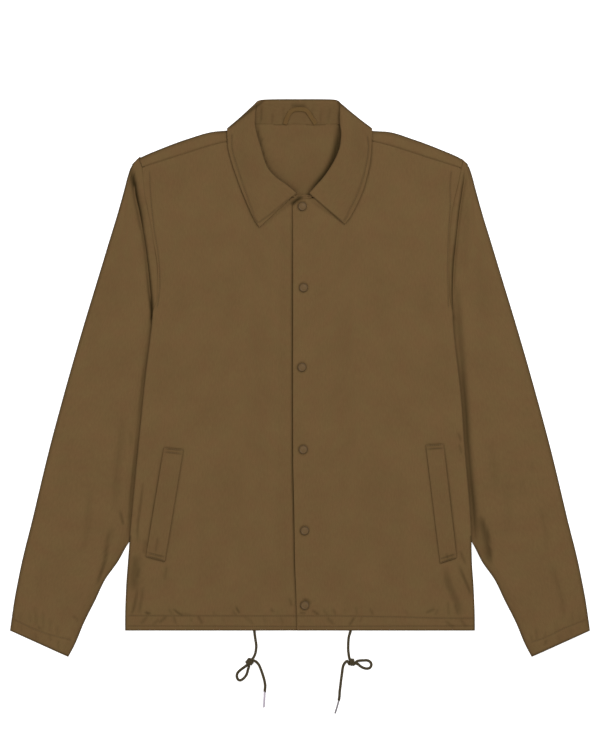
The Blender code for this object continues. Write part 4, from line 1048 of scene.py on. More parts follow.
def tape_height(point):
    """Height of the hanger tape, which lies on the collar's stand."""
    row = dict(zip(COLLAR_COLUMNS, COLLAR_LEFT[0]))
    neck, roll = Vector(row["neck"]), Vector(row["roll"])
    share = (point.y - neck.y) / (roll.y - neck.y)
    stand = mix(row["neck_z"], row["roll_z"] + ROLL_RADIUS, share)
    return stand + WALL / 2 + GAP + TAPE_WALL / 2


def hanger_rows():
    """Flat tape in an arch over the back neck seam."""
    middle = curve_points(HANGER_PATH, 5.0)
    rows = []
    for index, point in enumerate(middle):
        before = middle[max(index - 1, 0)]
        after = middle[min(index + 1, len(middle) - 1)]
        along = (after - before).normalized()
        square = Vector((-along.y, along.x)) * TAPE_WIDTH / 2
        edges = (point + square, point, point - square)
        rows.append([(*edge, tape_height(edge)) for edge in edges])
    return rows


def welt_rows(side, corners):
    """A pocket welt, laid on its front panel's own surface and moved out from it."""
    upper_inner, upper_outer, lower_outer, lower_inner = [Vector(corner) for corner in corners]
    lift = WALL / 2 + GAP + WELT_WALL / 2
    rows = []
    for index in range(WELT_ROWS):
        t = index / (WELT_ROWS - 1)
        inner = lower_inner.lerp(upper_inner, t)
        outer = lower_outer.lerp(upper_outer, t)
        row = []
        for column in range(WELT_COLUMNS_ACROSS + 1):
            place = inner.lerp(outer, column / WELT_COLUMNS_ACROSS)
            z = front_height(side, place.x, place.y) + lift
            row.append((side.sign * place.x, place.y, z))
        rows.append(row)
    return rows


def as_grid(rows):
    """Rows of points as an array; a place without a point is not a number."""
    gap = (math.nan,) * 3
    return np.array([[gap if point is None else tuple(point) for point in row] for row in rows])


def span_lengths(grid):
    """Mean distance from each row of the grid to the next."""
    lengths = np.linalg.norm(np.diff(grid, axis=0), axis=2)
    return np.nanmean(lengths, axis=1)


def slopes(grid, lengths):
    """Slope at each row, so that the curve through the rows never swings past their points."""
    rises = np.diff(grid, axis=0) / lengths[:, None, None]
    before = np.concatenate([rises[:1], rises])
    after = np.concatenate([rises, rises[-1:]])
    before = np.where(np.isnan(before), after, before)
    after = np.where(np.isnan(after), before, after)
    same_way = before * after > 0
    total = np.where(same_way, before + after, 1.0)
    return np.where(same_way, 2 * before * after / total, 0.0)


def add_rows(grid, step, fine_step, fine_parts=()):
    """Add rows along smooth curves, about a step apart, and closer in the fine parts.

    A fine part is a start and an end, measured along the grid; below zero counts from its end.
    """
    lengths = span_lengths(grid)
    places = np.concatenate([[0.0], np.cumsum(lengths)])
    total = places[-1]
    parts = [(low % total, high % total or total) for low, high in fine_parts]
    slope = slopes(grid, lengths)
    result = [grid[0]]
    for index, length in enumerate(lengths):
        samples = np.linspace(0.0, 1.0, SPAN_SAMPLES + 1)
        at = places[index] + samples * length
        density = np.full(SPAN_SAMPLES + 1, 1 / step)
        for low, high in parts:
            density[(at >= low) & (at <= high)] = 1 / fine_step
        rises = (density[1:] + density[:-1]) / 2 * length / SPAN_SAMPLES
        growth = np.concatenate([[0.0], np.cumsum(rises)])
        count = max(1, round(growth[-1]))
        for t in np.interp(np.arange(1, count + 1) / count * growth[-1], growth, samples):
            result.append(
                bend(t, length, grid[index], grid[index + 1], slope[index], slope[index + 1])
            )
    return np.array(result)


def finer(rows, step, fine_step=1.0, along=(), across=()):
    """A finer grid through the points of rows: along is from row to row, across within a row."""
    grid = add_rows(as_grid(rows), step, fine_step, along)
    grid = add_rows(grid.transpose(1, 0, 2), step, fine_step, across)
    return grid.transpose(1, 0, 2)


def distance_to_path(places, path):
    """Distance of each place from a broken line, signed by its side, and how far along it lies."""
    path = np.array(path)
    best = np.full(len(places), np.inf)
    signed = np.zeros(len(places))
    share = np.zeros(len(places))
    lengths = np.linalg.norm(np.diff(path, axis=0), axis=1)
    travelled = np.concatenate([[0.0], np.cumsum(lengths)])
    for index, length in enumerate(lengths):
        start = path[index]
        direction = (path[index + 1] - start) / length
        offset = places - start
        along = np.clip(offset @ direction, 0.0, length)
        away = np.linalg.norm(offset - along[:, None] * direction, axis=1)
        side = np.sign(direction[0] * offset[:, 1] - direction[1] * offset[:, 0])
        nearer = away < best
        best[nearer] = away[nearer]
        signed[nearer] = (side * away)[nearer]
        share[nearer] = (travelled[index] + along[nearer]) / travelled[-1]
    return signed, share


def darker(first, second):
    """Two shades over each other."""
    return 1 - (1 - first) * (1 - second)


def relief(places, creases, fade=0.3):
    """Height that the creases add at each place on a cloth, and how much painted shade they add there.

    The fade is the share of a crease's length over which each of its ends runs out.
    """
    height = np.zeros(len(places))
    shade = np.zeros(len(places))
    for crease in creases:
        row = dict(zip(CREASE_COLUMNS, crease))
        path = [tuple(point) for point in curve_points(row["path"], CREASE_STEP)]
        reach = CREASE_REACH * max(row["left"], row["right"])
        low = np.min(path, axis=0) - reach
        high = np.max(path, axis=0) + reach
        near = np.all((places >= low) & (places <= high), axis=1)
        if not near.any():
            continue
        signed, share = distance_to_path(places[near], path)
        width = np.where(signed > 0, row["left"], row["right"])
        ends = np.clip(share / fade, 0, 1) * np.clip((1 - share) / fade, 0, 1)
        form = np.exp(-(signed / width) ** 2) * ends * (2 - ends)
        height[near] += row["depth"] * form
        shade[near] = darker(shade[near], row["dark"] * form)
    return height, shade


def turned(creases):
    """Like creases for a side that faces down: mirrored, shallower, and raised instead of sunk."""
    return tuple(
        (tuple((-x, y) for x, y in path), right, left, -UNDER_DEPTH * depth, UNDER_DARK * dark)
        for path, left, right, depth, dark in creases
    )


def neck_shade(grid):
    """The painted shade on the back's inner face, which the neck opening shows."""
    known = ~np.isnan(grid[:, :, 0])
    _, dark = relief(grid[known][:, :2], NECK_SHADOWS)
    shade = np.zeros(grid.shape[:2])
    shade[known] = darker(INSIDE_SHADE, dark)
    return shade


def swell(places, seed):
    """Slow, shallow unevenness of cloth that lies at rest."""
    source = random.Random(seed)
    height = np.zeros(len(places))
    for _ in range(SWELL_WAVES):
        angle = source.uniform(-0.5, 0.5) + (math.pi / 2 if source.random() < 0.35 else 0.0)
        length = source.uniform(34, 120)
        wave = places[:, 0] * math.cos(angle) + places[:, 1] * math.sin(angle)
        height += source.uniform(0.03, 0.085) * np.sin(
            2 * math.pi * wave / length + source.uniform(0, 6.28)
        )
    return height


def seam_grooves(cloth, facing):
    """Creases that the sewn lines of one cloth pull into it, with painted shade along them."""
    rows = [dict(zip(SEAM_COLUMNS, seam)) for seam in SEAMS]
    lift = -SEAM_DEPTH if facing == "up" else SEAM_DEPTH
    return [
        (row["path"], SEAM_WIDTH, SEAM_WIDTH, lift, SEAM_SHADES.get(cloth, CUFF_SEAM_SHADE))
        for row in rows
        if row["cloth"] == cloth and row["facing"] == facing
    ]


def steepness(grid):
    """How far the cloth leans from level at each point: 0 where it is level, 1 where it is upright."""
    padded = np.pad(grid, ((1, 1), (1, 1), (0, 0)), constant_values=math.nan)
    here = padded[1:-1, 1:-1]
    spans = []
    for before, after in (
        (padded[:-2, 1:-1], padded[2:, 1:-1]), (padded[1:-1, :-2], padded[1:-1, 2:]),
    ):
        before = np.where(np.isnan(before), here, before)
        after = np.where(np.isnan(after), here, after)
        spans.append(after - before)
    normal = np.cross(spans[0], spans[1])
    length = np.linalg.norm(normal, axis=2)
    return 1 - np.abs(normal[:, :, 2]) / np.where(length > 0, length, 1.0)


def rims(cloth):
    """Lines along the outer edges of a cloth, which turn away and so get painted shade."""
    if cloth in ("sleeve_left", "sleeve_right"):
        side = LEFT if cloth == "sleeve_left" else RIGHT
        outer = [(side.sign * x, y) for y, x in SLEEVE_OUTER]
        inner = [(side.sign * (side.fold(y) - side.tuck(y)), y) for y in range(-398, -236, 8)]
        cuff = [(side.sign * SLEEVE_OUTER[0][1], CUFF_OUTER_Y), inner[0]]
        paths = [outer, inner, cuff]
    elif cloth in ("front_left", "front_right"):
        side = LEFT if cloth == "front_left" else RIGHT
        outer = [(side.sign * side.fold(y), y) for y in range(-361, -222, 8)]
        hem = [(side.sign * side.fold(HEM_Y), HEM_Y), (side.sign * -4.0, HEM_Y)]
        paths = [outer, hem]
    elif cloth == "back":
        paths = [[(sign * x, y) for x, y in SHOULDER_EDGE] for sign in (1, -1)]
    elif cloth == "collar":
        paths = [[(sign * x, y) for x, y in COLLAR_RIM] for sign in (1, -1)]
    else:
        paths = []
    return [(path, RIM_WIDTH, RIM_WIDTH, 0.0, RIM_SHADE) for path in paths]


def creased(grid, cloth, seed, creases, upper, under_creases=()):
    """The grid with its folds and seam grooves, and its painted shade; upper is 1 where it faces up."""
    flat = grid.reshape(-1, 3).copy()
    known = ~np.isnan(flat[:, 0])
    places = flat[known][:, :2]
    above = upper.reshape(-1)[known]
    height, shade = relief(places, creases)
    groove, line = relief(places, seam_grooves(cloth, "up"), SEAM_FADE)
    height = (height + groove + swell(places, seed)) * above
    shade = darker(shade, line) * above
    under, under_shade = relief(places, under_creases)
    groove, line = relief(places, seam_grooves(cloth, "down"), SEAM_FADE)
    height += (under + groove + np.maximum(swell(places, seed + 1), 0)) * (1 - above)
    shade += darker(under_shade, line) * (1 - above)
    lowest = flat[known, 2].min()
    flat[known, 2] = np.maximum(flat[known, 2] + height, lowest)
    shades = np.zeros(len(flat))
    shades[known] = shade
    result = flat.reshape(grid.shape)
    # Painted shade along the rims and where the cloth leans from level
    _, rim = relief(places, rims(cloth), RIM_FADE)
    shades[known] = darker(shades[known], rim)
    lean = np.clip(np.nan_to_num(steepness(result)), 0, 1)
    return result, darker(shades.reshape(grid.shape[:2]), EDGE_SHADE * lean ** LEAN_POWER)


def link_object(name, data):
    thing = bpy.data.objects.new(name, data)
    bpy.context.scene.collection.objects.link(thing)
    return thing


def new_mesh(name, vertices, faces, *materials):
    mesh = bpy.data.meshes.new(name)
    mesh.from_pydata(vertices, [], faces)
    for material in materials:
        mesh.materials.append(material)
    mesh.shade_smooth()
    return mesh


def store(mesh, name, values):
    """Keep a value for each point of the mesh."""
    layer = mesh.attributes.new(name, "FLOAT", "POINT")
    layer.data.foreach_set("value", values.astype(np.float32))


def store_places(mesh, places):
    """Keep a UV for each corner of the mesh's faces."""
    layer = mesh.uv_layers.new(name="UVMap")
    layer.data.foreach_set("uv", np.array(places).astype(np.float32).reshape(-1))


def ring_faces(first, rings, sides):
    """Faces between rings of points that follow each other from point number first on."""
    faces = []
    for ring in range(rings - 1):
        low = first + ring * sides
        for step in range(sides):
            after = (step + 1) % sides
            faces.append((low + step, low + after, low + sides + after, low + sides + step))
    return faces


def closed_faces(rings, sides):
    """Faces between rings of points and over both ends."""
    last = (rings - 1) * sides
    ends = [tuple(reversed(range(sides))), tuple(range(last, last + sides))]
    return ring_faces(0, rings, sides) + ends


def add_cloth(name, grid, wall, material, shade=None, inner_material=None, inner_shade=None):
    """A thin closed shell on a grid of points, with cloth lengths as its UVs."""
    known = ~np.isnan(grid[:, :, 0])
    numbers = np.full(known.shape, -1)
    numbers[known] = np.arange(known.sum())
    corners = np.stack(
        [numbers[:-1, :-1], numbers[:-1, 1:], numbers[1:, 1:], numbers[1:, :-1]], axis=2
    ).reshape(-1, 4)
    faces = corners[(corners >= 0).all(axis=1)]
    materials = [layer for layer in (inner_material, material) if layer is not None]
    mesh = new_mesh(name, (grid[known] * MM).tolist(), faces.tolist(), *materials)
    down = np.concatenate([[0.0], np.cumsum(span_lengths(grid))])
    over = np.concatenate([[0.0], np.cumsum(span_lengths(grid.transpose(1, 0, 2)))])
    across, along = np.meshgrid(over, down)
    cloth_places = np.stack([across[known], along[known]], axis=1) * MM
    store_places(mesh, cloth_places[faces.reshape(-1)])
    if shade is not None:
        store(mesh, "shade", shade[known])
    if inner_shade is not None:
        store(mesh, "inner_shade", inner_shade[known])
    thing = link_object(name, mesh)
    solidify = thing.modifiers.new("wall", "SOLIDIFY")
    solidify.thickness = wall * MM
    solidify.offset = 0.0
    solidify.use_quality_normals = True
    if inner_material is not None:
        solidify.material_offset = 1
        solidify.material_offset_rim = 1
    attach(thing, "root")
    return thing


def feed(tree, node, values):
    """Set a node's inputs to values, or link them to outputs of other nodes."""
    for socket, value in values.items():
        if isinstance(value, bpy.types.NodeSocket):
            tree.links.new(value, node.inputs[socket])
        else:
            node.inputs[socket].default_value = value


def new_material(name, values):
    """A material with these values on its shader, its node tree and the shader."""
    material = bpy.data.materials.new(name)
    material.use_nodes = True
    tree = material.node_tree
    shader = tree.nodes["Principled BSDF"]
    feed(tree, shader, values)
    return material, tree, shader


def calculated(tree, operation, *values):
    node = tree.nodes.new("ShaderNodeMath")
    node.operation = operation
    feed(tree, node, dict(enumerate(values)))
    return node.outputs["Value"]


def mixed(tree, factor, low, high, blend="MIX"):
    """A colour between low and high, or low times high."""
    node = tree.nodes.new("ShaderNodeMix")
    node.data_type = "RGBA"
    node.blend_type = blend
    feed(tree, node, {"Factor": factor, "A": low, "B": high})
    return node.outputs["Result"]


def noise(tree, scale, detail, place=None):
    node = tree.nodes.new("ShaderNodeTexNoise")
    feed(tree, node, {"Scale": scale, "Detail": detail})
    if place is not None:
        feed(tree, node, {"Vector": place})
    return node.outputs["Fac"]


def stripes(tree, direction, scale, distortion, detail, place):
    node = tree.nodes.new("ShaderNodeTexWave")
    node.bands_direction = direction
    feed(tree, node, {
        "Scale": scale, "Distortion": distortion, "Detail": detail, "Vector": place,
    })
    return node.outputs["Fac"]


def scaled(tree, place, scale, shift=(0, 0, 0)):
    node = tree.nodes.new("ShaderNodeMapping")
    feed(tree, node, {"Vector": place, "Scale": scale, "Location": shift})
    return node.outputs["Vector"]


def shade_input(tree, name):
    """How much painted shade a point has, from 0 to 1, as its mesh says."""
    node = tree.nodes.new("ShaderNodeAttribute")
    node.attribute_name = name
    return node.outputs["Fac"]


def add_bump(tree, shader, height, strength, depth):
    """Fine relief, its depth in metres."""
    node = tree.nodes.new("ShaderNodeBump")
    feed(tree, node, {"Height": height, "Strength": strength, "Distance": depth})
    feed(tree, shader, {"Normal": node.outputs["Normal"]})


def tint(colour, red, green, blue):
    return (colour[0] * red, colour[1] * green, colour[2] * blue, 1)


def speckled(tree, factor, colour, low, high):
    """The colour made darker and lighter by the same share in red, green and blue."""
    return mixed(tree, factor, tint(colour, low, low, low), tint(colour, high, high, high))


def make_cloth_material(name, colour=CLOTH_COLOUR, seed=0.0, shade_name="shade"):
    """Fine plain weave with slubs and a faint, uneven dye, all sized in millimetres, with painted shade.
    """
    material, tree, shader = new_material(name, {
        "Roughness": 0.72, "Sheen Weight": 0.03, "Sheen Roughness": 0.4, "Specular IOR Level": 0.1,
    })
    uv = tree.nodes.new("ShaderNodeUVMap").outputs["UV"]
    place = scaled(tree, uv, (1 / MM, 1 / MM, 1 / MM), (seed, seed * 1.7, 0))
    warp = stripes(tree, "X", 0.314 / WEAVE_PERIOD, 0.6, 1.0, place)
    weft = stripes(tree, "Y", 0.314 / WEAVE_PERIOD, 0.6, 1.0, place)
    weave = calculated(tree, "MULTIPLY", warp, weft)
    slub = noise(tree, 0.5, 3.0, scaled(tree, place, (1.0, 0.25, 1.0)))
    cloud = noise(tree, 0.018, 4.0, place)
    patch = noise(tree, 0.045, 2.0, place)
    unevenness = calculated(
        tree, "MULTIPLY_ADD", slub, 0.5, calculated(tree, "MULTIPLY", cloud, 0.5)
    )
    dye = mixed(tree, unevenness, tint(colour, 0.78, 0.73, 0.71), tint(colour, 1.21, 1.26, 1.27))
    tone = mixed(tree, patch, (1.0, 0.90, 0.93, 1), (0.94, 1.04, 0.98, 1))
    toned = mixed(tree, 1.0, dye, tone, "MULTIPLY")
    # Painted shade: towards a deep brown where the mesh's shade value is high
    deep = mixed(tree, shade_input(tree, shade_name), toned, tint(colour, 0.17, 0.17, 0.05))
    feed(tree, shader, {"Base Color": deep})
    add_bump(tree, shader, calculated(tree, "MULTIPLY_ADD", slub, 0.6, weave), 0.5, 0.0001)
    return material


def make_cord_material(name):
    """Braided polyester: two sets of strands that cross round the cord."""
    material, tree, shader = new_material(name, {
        "Roughness": 0.6, "Sheen Weight": 0.04, "Specular IOR Level": 0.15,
    })
    uv = tree.nodes.new("ShaderNodeUVMap").outputs["UV"]
    strands = []
    for lean in (1, -1):
        place = scaled(tree, uv, (4.0, lean * 420.0, 1.0))
        strands.append(stripes(tree, "DIAGONAL", 0.5, 0.0, 2.0, place))
    braid = calculated(tree, "MAXIMUM", *strands)
    feed(tree, shader, {"Base Color": speckled(tree, braid, CORD_COLOUR, 0.6, 1.15)})
    add_bump(tree, shader, braid, 0.7, 0.0003)
    return material


def make_tip_material(name, colour):
    """Clear shrink film over the cord's end."""
    material, tree, shader = new_material(name, {"Roughness": 0.16, "Coat Weight": 0.5})
    film = noise(tree, 300, 2.0)
    feed(tree, shader, {"Base Color": speckled(tree, film, colour, 0.85, 1.15)})
    return material


def make_thread_material(name):
    """Twisted sewing thread."""
    material, tree, shader = new_material(name, {"Roughness": 0.55, "Specular IOR Level": 0.3})
    place = tree.nodes.new("ShaderNodeTexCoord").outputs["Object"]
    twist = noise(tree, 900, 2.0, place)
    feed(tree, shader, {"Base Color": speckled(tree, twist, THREAD_COLOUR, 0.8, 1.2)})
    return material


def make_snap_material():
    """Satin enamel on metal, a little darker than the cloth, with painted shade at the rim."""
    material, tree, shader = new_material("snap_enamel", {
        "Roughness": 0.5, "Specular IOR Level": 0.2,
    })
    place = tree.nodes.new("ShaderNodeTexCoord").outputs["Object"]
    grain = noise(tree, 500, 3.0, place)
    enamel = speckled(tree, grain, SNAP_COLOUR, 0.85, 1.15)
    # Painted shade on the cap's rim
    rim_shaded = mixed(tree, shade_input(tree, "shade"), enamel, tint(SNAP_COLOUR, 0.2, 0.2, 0.2))
    feed(tree, shader, {"Base Color": rim_shaded})
    add_bump(tree, shader, grain, 0.25, 0.0001)
    return material


def surface_of(shell):
    """The shell's finished surface, for finding where a point of a seam lies on it."""
    graph = bpy.context.evaluated_depsgraph_get()
    return BVHTree.FromObject(shell, graph)


def seam_places(surface, path, facing, pitch):
    """Points and normals on a surface, a pitch apart along a path seen from above or below."""
    high, way = (RAY_START, -1) if facing == "up" else (-RAY_START, 1)
    result = []
    for point in curve_points(path, pitch):
        start = Vector((point[0] * MM, point[1] * MM, high))
        place, normal, _, _ = surface.ray_cast(start, Vector((0, 0, way)))
        result.append((place, normal))
    return result


def add_stitch(vertices, faces, start, end, normal):
    """One stitch: a short thread that rises from the cloth and goes back into it."""
    along = (end - start).normalized()
    side = along.cross(normal).normalized()
    half = THREAD_WIDTH * MM / 2
    first = len(vertices)
    for share, width, rise in STITCH_SECTIONS:
        centre = start.lerp(end, share) + normal * half * rise
        for across, up in ((1, 0), (0, 1), (-1, 0), (0, -1)):
            vertices.append(centre + (side * across + normal * up) * half * width)
    faces += ring_faces(first, len(STITCH_SECTIONS), 4)


def make_stitches(cloth, shell, material, extra_paths=()):
    """All the topstitching on one cloth, as one mesh."""
    surface = surface_of(shell)
    paths = [(row[1], row[2]) for row in SEAMS if row[0] == cloth] + list(extra_paths)
    vertices = []
    faces = []
    for facing, path in paths:
        places = seam_places(surface, path, facing, STITCH_PITCH)
        for (start, normal), (end, _) in zip(places, places[1:]):
            if start is None or end is None or abs(end.z - start.z) > STITCH_STEEPEST * MM:
                continue
            reach = STITCH_LENGTH / STITCH_PITCH
            add_stitch(vertices, faces, start, start.lerp(end, reach), normal)
    for vertex in vertices:
        vertex.z = max(vertex.z, STITCH_LOWEST * MM)
    name = "stitches_" + cloth
    stitches = link_object(name, new_mesh(name, vertices, faces, material))
    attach(stitches, "root")
    return stitches


def make_snap(index, place, surface, material):
    """A painted cap: domed, with a rolled rim, pressed into the cloth."""
    base, _, _, _ = surface.ray_cast(
        Vector((place[0] * MM, place[1] * MM, RAY_START)), Vector((0, 0, -1))
    )
    vertices = []
    for radius, height in SNAP_PROFILE:
        for step in range(SNAP_SIDES):
            turn = 2 * math.pi * step / SNAP_SIDES
            offset = Vector((math.cos(turn) * radius, math.sin(turn) * radius, height)) * MM
            vertices.append(base + offset)
    faces = closed_faces(len(SNAP_PROFILE), SNAP_SIDES)
    mesh = new_mesh("snap_cap_%d" % index, vertices, faces, material)
    # Painted shade on the rings outside the bowl
    shades = [SNAP_RIM_SHADE if radius > SNAP_BOWL_RADIUS else 0.0 for radius, _ in SNAP_PROFILE]
    store(mesh, "shade", np.repeat(shades, SNAP_SIDES))
    snap = link_object("snap_cap_%d" % index, mesh)
    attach(snap, "root")
    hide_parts("snap_%d" % index)
    return snap


def add_tube(name, route, radii, material, sides=14):
    """A closed round tube along points, with its own turned length as UVs."""
    normal = Vector((0, 0, 1))
    vertices = []
    for index, (point, radius) in enumerate(zip(route, radii)):
        before = route[max(index - 1, 0)]
        after = route[min(index + 1, len(route) - 1)]
        along = (after - before).normalized()
        normal = (normal - along * normal.dot(along)).normalized()
        side = along.cross(normal)
        for step in range(sides):
            turn = 2 * math.pi * step / sides
            offset = radius * (math.cos(turn) * normal + math.sin(turn) * side)
            vertices.append((point + offset) * MM)
    travelled = [0.0]
    for start, end in zip(route, route[1:]):
        travelled.append(travelled[-1] + (end - start).length * MM)
    places = []
    for near, far in zip(travelled, travelled[1:]):
        for step in range(sides):
            low, high = step / sides, (step + 1) / sides
            places += [(low, near), (high, near), (high, far), (low, far)]
    places += [(0.5, 0.0)] * (2 * sides)
    mesh = new_mesh(name, vertices, closed_faces(len(route), sides), material)
    store_places(mesh, places)
    thing = link_object(name, mesh)
    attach(thing, "root")
    return thing


def flat_points(places, height):
    """Points at one height above the ground."""
    return [Vector((*place, height)) for place in places]


def knot_turns(centre, axis):
    """Two turns round the loop's legs, from the loop's side of the knot to the stem's side."""
    along = Vector((*axis, 0)).normalized()
    across = Vector((-along.y, along.x, 0))
    if across.x > 0:
        across = -across
    middle = Vector((*centre, KNOT_HEIGHT))
    up = Vector((0, 0, KNOT_RISE))
    points = []
    for step in range(KNOT_STEPS + 1):
        turn = math.radians(step * 720 / KNOT_STEPS)
        place = middle + along * mix(*KNOT_ENDS, step / KNOT_STEPS)
        points.append(place + across * KNOT_REACH * math.cos(turn) + up * math.sin(turn))
    return points


def cord_route(stem, loop, tail, knot):
    """The whole free end: stem, through the knot, round the loop, two turns, and the tail."""
    centre, axis = knot
    across = Vector((-axis[1], axis[0], 0)).normalized()
    inside = Vector((*centre, KNOT_INSIDE)) - across
    around = flat_points(loop, CORD_HEIGHT)
    around[0].z += LOOP_LIFT
    around[-1].z += LOOP_LIFT
    away = flat_points(tail, CORD_HEIGHT)
    away[0].z += TAIL_LIFT
    turns = knot_turns(centre, axis)
    return curve_points(flat_points(stem, CORD_HEIGHT) + [inside] + around + turns + away, CORD_STEP)


def make_cord_end(word, stem, loop, tail, tip, knot, tip_diameter):
    """One free end of the drawcord, with its clear tip."""
    cord_material = make_cord_material("cord_%s" % word)
    route = cord_route(stem, loop, tail, knot)
    radius = CORD_DIAMETER / 2
    radii = [radius] * len(route)
    radii[0] = radii[-1] = radius * CORD_END_SHARE
    cord = add_tube("drawcord_%s" % word, route, radii, cord_material)
    nodes = ["cord_%s_%s" % (word, part) for part in ("stem", "loop", "tail", "knot")]
    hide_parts(*nodes)
    tip_route = curve_points(flat_points(tip, CORD_HEIGHT), CORD_STEP)
    tip_radii = [tip_diameter / 2] * len(tip_route)
    tip_radii[0] = tip_diameter / 2 + TIP_LIP
    tip_radii[-1] = tip_diameter / 2 * TIP_END_SHARE
    tip_material = make_tip_material("tip_%s" % word, TIP_COLOURS[word])
    sleeve = add_tube("tip_%s" % word, tip_route, tip_radii, tip_material)
    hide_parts("cord_%s_tip" % word)


def make_camera():
    data = bpy.data.cameras.new("camera")
    data.sensor_fit = "VERTICAL"
    data.sensor_height = SENSOR_HEIGHT
    data.lens = SENSOR_HEIGHT * CAMERA_DISTANCE / PHOTO_HEIGHT
    data.clip_end = CAMERA_REACH
    camera = link_object("camera", data)
    camera.location = (0, CAMERA_Y * MM, (CAMERA_DISTANCE + CAMERA_RISE) * MM)
    bpy.context.scene.camera = camera


def make_light(name, place, size, power):
    """A square lamp that faces the middle of the jacket."""
    data = bpy.data.lights.new(name, "AREA")
    data.shape = "SQUARE"
    data.size = size
    data.energy = power
    light = link_object(name, data)
    light.location = place
    light.rotation_euler = (-Vector(place)).to_track_quat("-Z", "Y").to_euler()


def make_stage():
    """White ground a hair below the cloth, two lamps and an even sky."""
    material, _, _ = new_material("floor", {
        "Base Color": (0.86, 0.86, 0.86, 1), "Roughness": 0.9,
        "Emission Color": (1, 1, 1, 1), "Emission Strength": 0.75,
    })
    corners = [
        (x * FLOOR_HALF, y * FLOOR_HALF, FLOOR_Z) for x, y in ((-1, -1), (1, -1), (1, 1), (-1, 1))
    ]
    mesh = new_mesh("floor", corners, [(0, 1, 2, 3)], material)
    link_object("floor", mesh)
    for light in LIGHTS:
        make_light(*light)
    world = bpy.data.worlds.new("studio")
    world.use_nodes = True
    feed(world.node_tree, world.node_tree.nodes["Background"], {
        "Color": (1, 1, 1, 1), "Strength": SKY_STRENGTH,
    })
    bpy.context.scene.world = world
    bpy.context.scene.view_settings.view_transform = "Standard"
    bpy.context.scene.view_settings.look = "None"


def even_crease(path, width, depth, dark):
    """A crease as wide on its left as on its right."""
    return (path, width, width, depth, dark)


def placket_shadow():
    """Painted shadow where the upper front's edge lies on the lower front."""
    path = tuple((x - PLACKET_SHADOW_OUT, y) for y, x in PLACKET_EDGE)
    return (even_crease(path, *PLACKET_SHADOW),)


def welt_shadows(side, corners):
    """Lines that a welt's four edges press into its front, with painted shadow along them."""
    points = [(side.sign * x, y) for x, y in corners]
    upper_inner, upper_outer, lower_outer, lower_inner = points
    return (
        even_crease((upper_outer, lower_outer), *WELT_SHADOWS["outer"]),
        even_crease((upper_inner, lower_inner), *WELT_SHADOWS["inner"]),
        even_crease((upper_inner, upper_outer), *WELT_SHADOWS["end"]),
        even_crease((lower_inner, lower_outer), *WELT_SHADOWS["end"]),
    )


def snap_hollows():
    """Hollows that the snap caps press into the front around them, with painted shade in them."""
    radius = SNAP_PROFILE[0][0] + SNAP_HOLLOW_OUT
    turns = [2 * math.pi * step / 24 for step in range(25)]
    return tuple(
        even_crease(
            tuple((x + radius * math.cos(turn), y + radius * math.sin(turn)) for turn in turns),
            *SNAP_HOLLOW,
        )
        for x, y in SNAP_PLACES
    )


def welt_ends(side, corners):
    """The two sewn lines across each end of a welt."""
    upper_inner, upper_outer, lower_outer, lower_inner = [Vector(corner) for corner in corners]
    length = (upper_inner - lower_inner).length
    paths = []
    for distance in (*WELT_END_LINES, *[length - line for line in reversed(WELT_END_LINES)]):
        share = distance / length
        inner = upper_inner.lerp(lower_inner, share)
        outer = upper_outer.lerp(lower_outer, share)
        start, end = inner.lerp(outer, 0.03), inner.lerp(outer, 0.97)
        paths.append(((side.sign * start.x, start.y), (side.sign * end.x, end.y)))
    return paths


def lay(name, kind, rows, creases, under_creases=()):
    """The finer grid of one cloth with its creases, its painted shade, and the seed of its dye."""
    row = dict(zip(LAY_COLUMNS, LAYS[kind]))
    grid = finer(rows, row["step"], row["fine_step"], row["along"], row["across"])
    upper = np.clip((grid[:, :, 2] - row["turn_z"]) / row["turn_rise"], 0, 1)
    grid, shade = creased(grid, name, row["swell_seed"], creases, upper, under_creases)
    return grid, shade, row["dye_seed"]


def make_back(thread):
    grid, shade, seed = lay("back", "back", back_rows(), (), turned(FRONT_CREASES))
    outside = make_cloth_material("back_cloth", seed=seed)
    inside = make_cloth_material("back_inside_cloth", seed=seed, shade_name="inner_shade")
    back = add_cloth("back_shell", grid, WALL, outside, shade, inside, neck_shade(grid))
    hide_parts("back")
    make_stitches("back", back, thread)


def make_front(name, side, corners, thread):
    creases = FRONT_CREASES + LEAF_SHADOWS + welt_shadows(side, corners)
    creases += snap_hollows() if side is LEFT else placket_shadow()
    grid, shade, seed = lay(name, "front", front_rows(side), creases)
    material = make_cloth_material(name + "_cloth", seed=seed)
    front = add_cloth(name + "_shell", grid, WALL, material, shade)
    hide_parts(name)
    pieces = [make_stitches(name, front, thread)]
    if side is LEFT:
        surface = surface_of(front)
        snap_material = make_snap_material()
        for index, place in enumerate(SNAP_PLACES, start=1):
            pieces.append(make_snap(index, place, surface, snap_material))


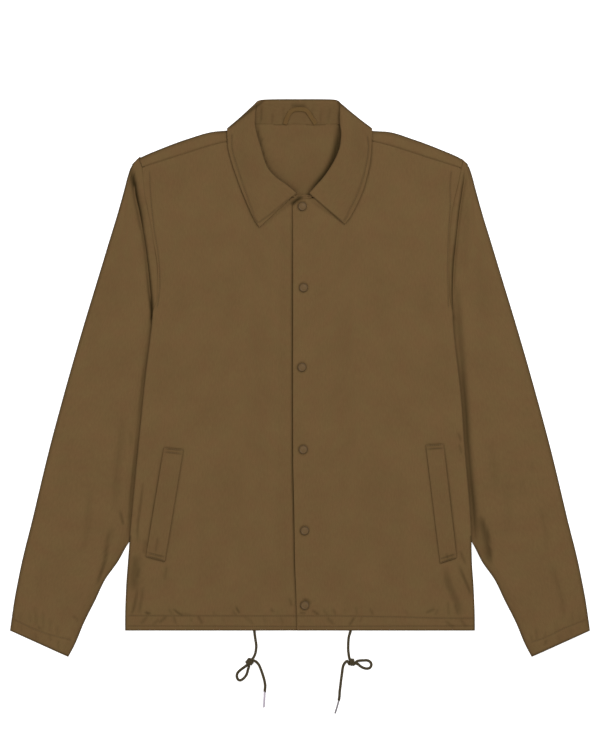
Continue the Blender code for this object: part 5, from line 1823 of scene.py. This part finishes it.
def make_sleeve(name, side, thread):
    creases = SLEEVE_CREASES + SIDE_VALLEYS
    grid, shade, seed = lay(name, "sleeve", sleeve_rows(side), creases, turned(SLEEVE_CREASES))
    material = make_cloth_material(name + "_cloth", seed=seed)
    sleeve = add_cloth(name + "_shell", grid, SLEEVE_WALL, material, shade)
    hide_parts(name)
    make_stitches(name, sleeve, thread)


def make_collar(thread):
    """The collar, with painted shade all over and more on its stand, and the hanger tape sewn to it."""
    grid, shade, seed = lay("collar", "collar", collar_rows(), COLLAR_CREASES)
    x, y = grid[:, :, 0], grid[:, :, 1]
    stand = (np.abs(x) < STAND_HALF) & (y > STAND_FROM_Y) & (y < STAND_TO_Y)
    shade = darker(shade, np.where(stand, STAND_SHADE, COLLAR_SHADE))
    material = make_cloth_material("collar_cloth", seed=seed)
    collar = add_cloth("collar_shell", grid, WALL, material, shade)
    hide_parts("collar")
    tape_material = make_cloth_material("tape", TAPE_COLOUR)
    tape = add_cloth("hanger_tape", finer(hanger_rows(), TAPE_STEP), TAPE_WALL, tape_material)
    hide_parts("hanger_loop")
    pieces = [make_stitches("collar", collar, thread), tape]


def make_welt(name, side, corners, thread):
    ends = welt_ends(side, corners)
    creases = FRONT_CREASES + tuple(even_crease(path, *WELT_END_CREASE) for path in ends)
    grid, shade, seed = lay(name, "welt", welt_rows(side, corners), creases)
    material = make_cloth_material(name + "_cloth", seed=seed)
    # Painted shade all over the welt as well
    welt = add_cloth(name + "_shell", grid, WELT_WALL, material, darker(shade, WELT_SHADE))
    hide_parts(name)
    stitches = make_stitches(name, welt, thread, [("up", path) for path in ends])


make_camera()
make_cord_end("right", STEM_RIGHT, LOOP_RIGHT, TAIL_RIGHT, TIP_RIGHT, KNOT_RIGHT, 3.6)
make_cord_end("left", STEM_LEFT, LOOP_LEFT, TAIL_LEFT, TIP_LEFT, KNOT_LEFT, 2.8)
thread = make_thread_material("thread")
make_back(thread)
make_front("front_right", RIGHT, WELT_RIGHT, thread)
make_front("front_left", LEFT, WELT_LEFT, thread)
make_sleeve("sleeve_left", LEFT, thread)
make_sleeve("sleeve_right", RIGHT, thread)
make_collar(thread)
make_welt("pocket_welt_left", LEFT, WELT_LEFT, thread)
make_welt("pocket_welt_right", RIGHT, WELT_RIGHT, thread)
make_stage()
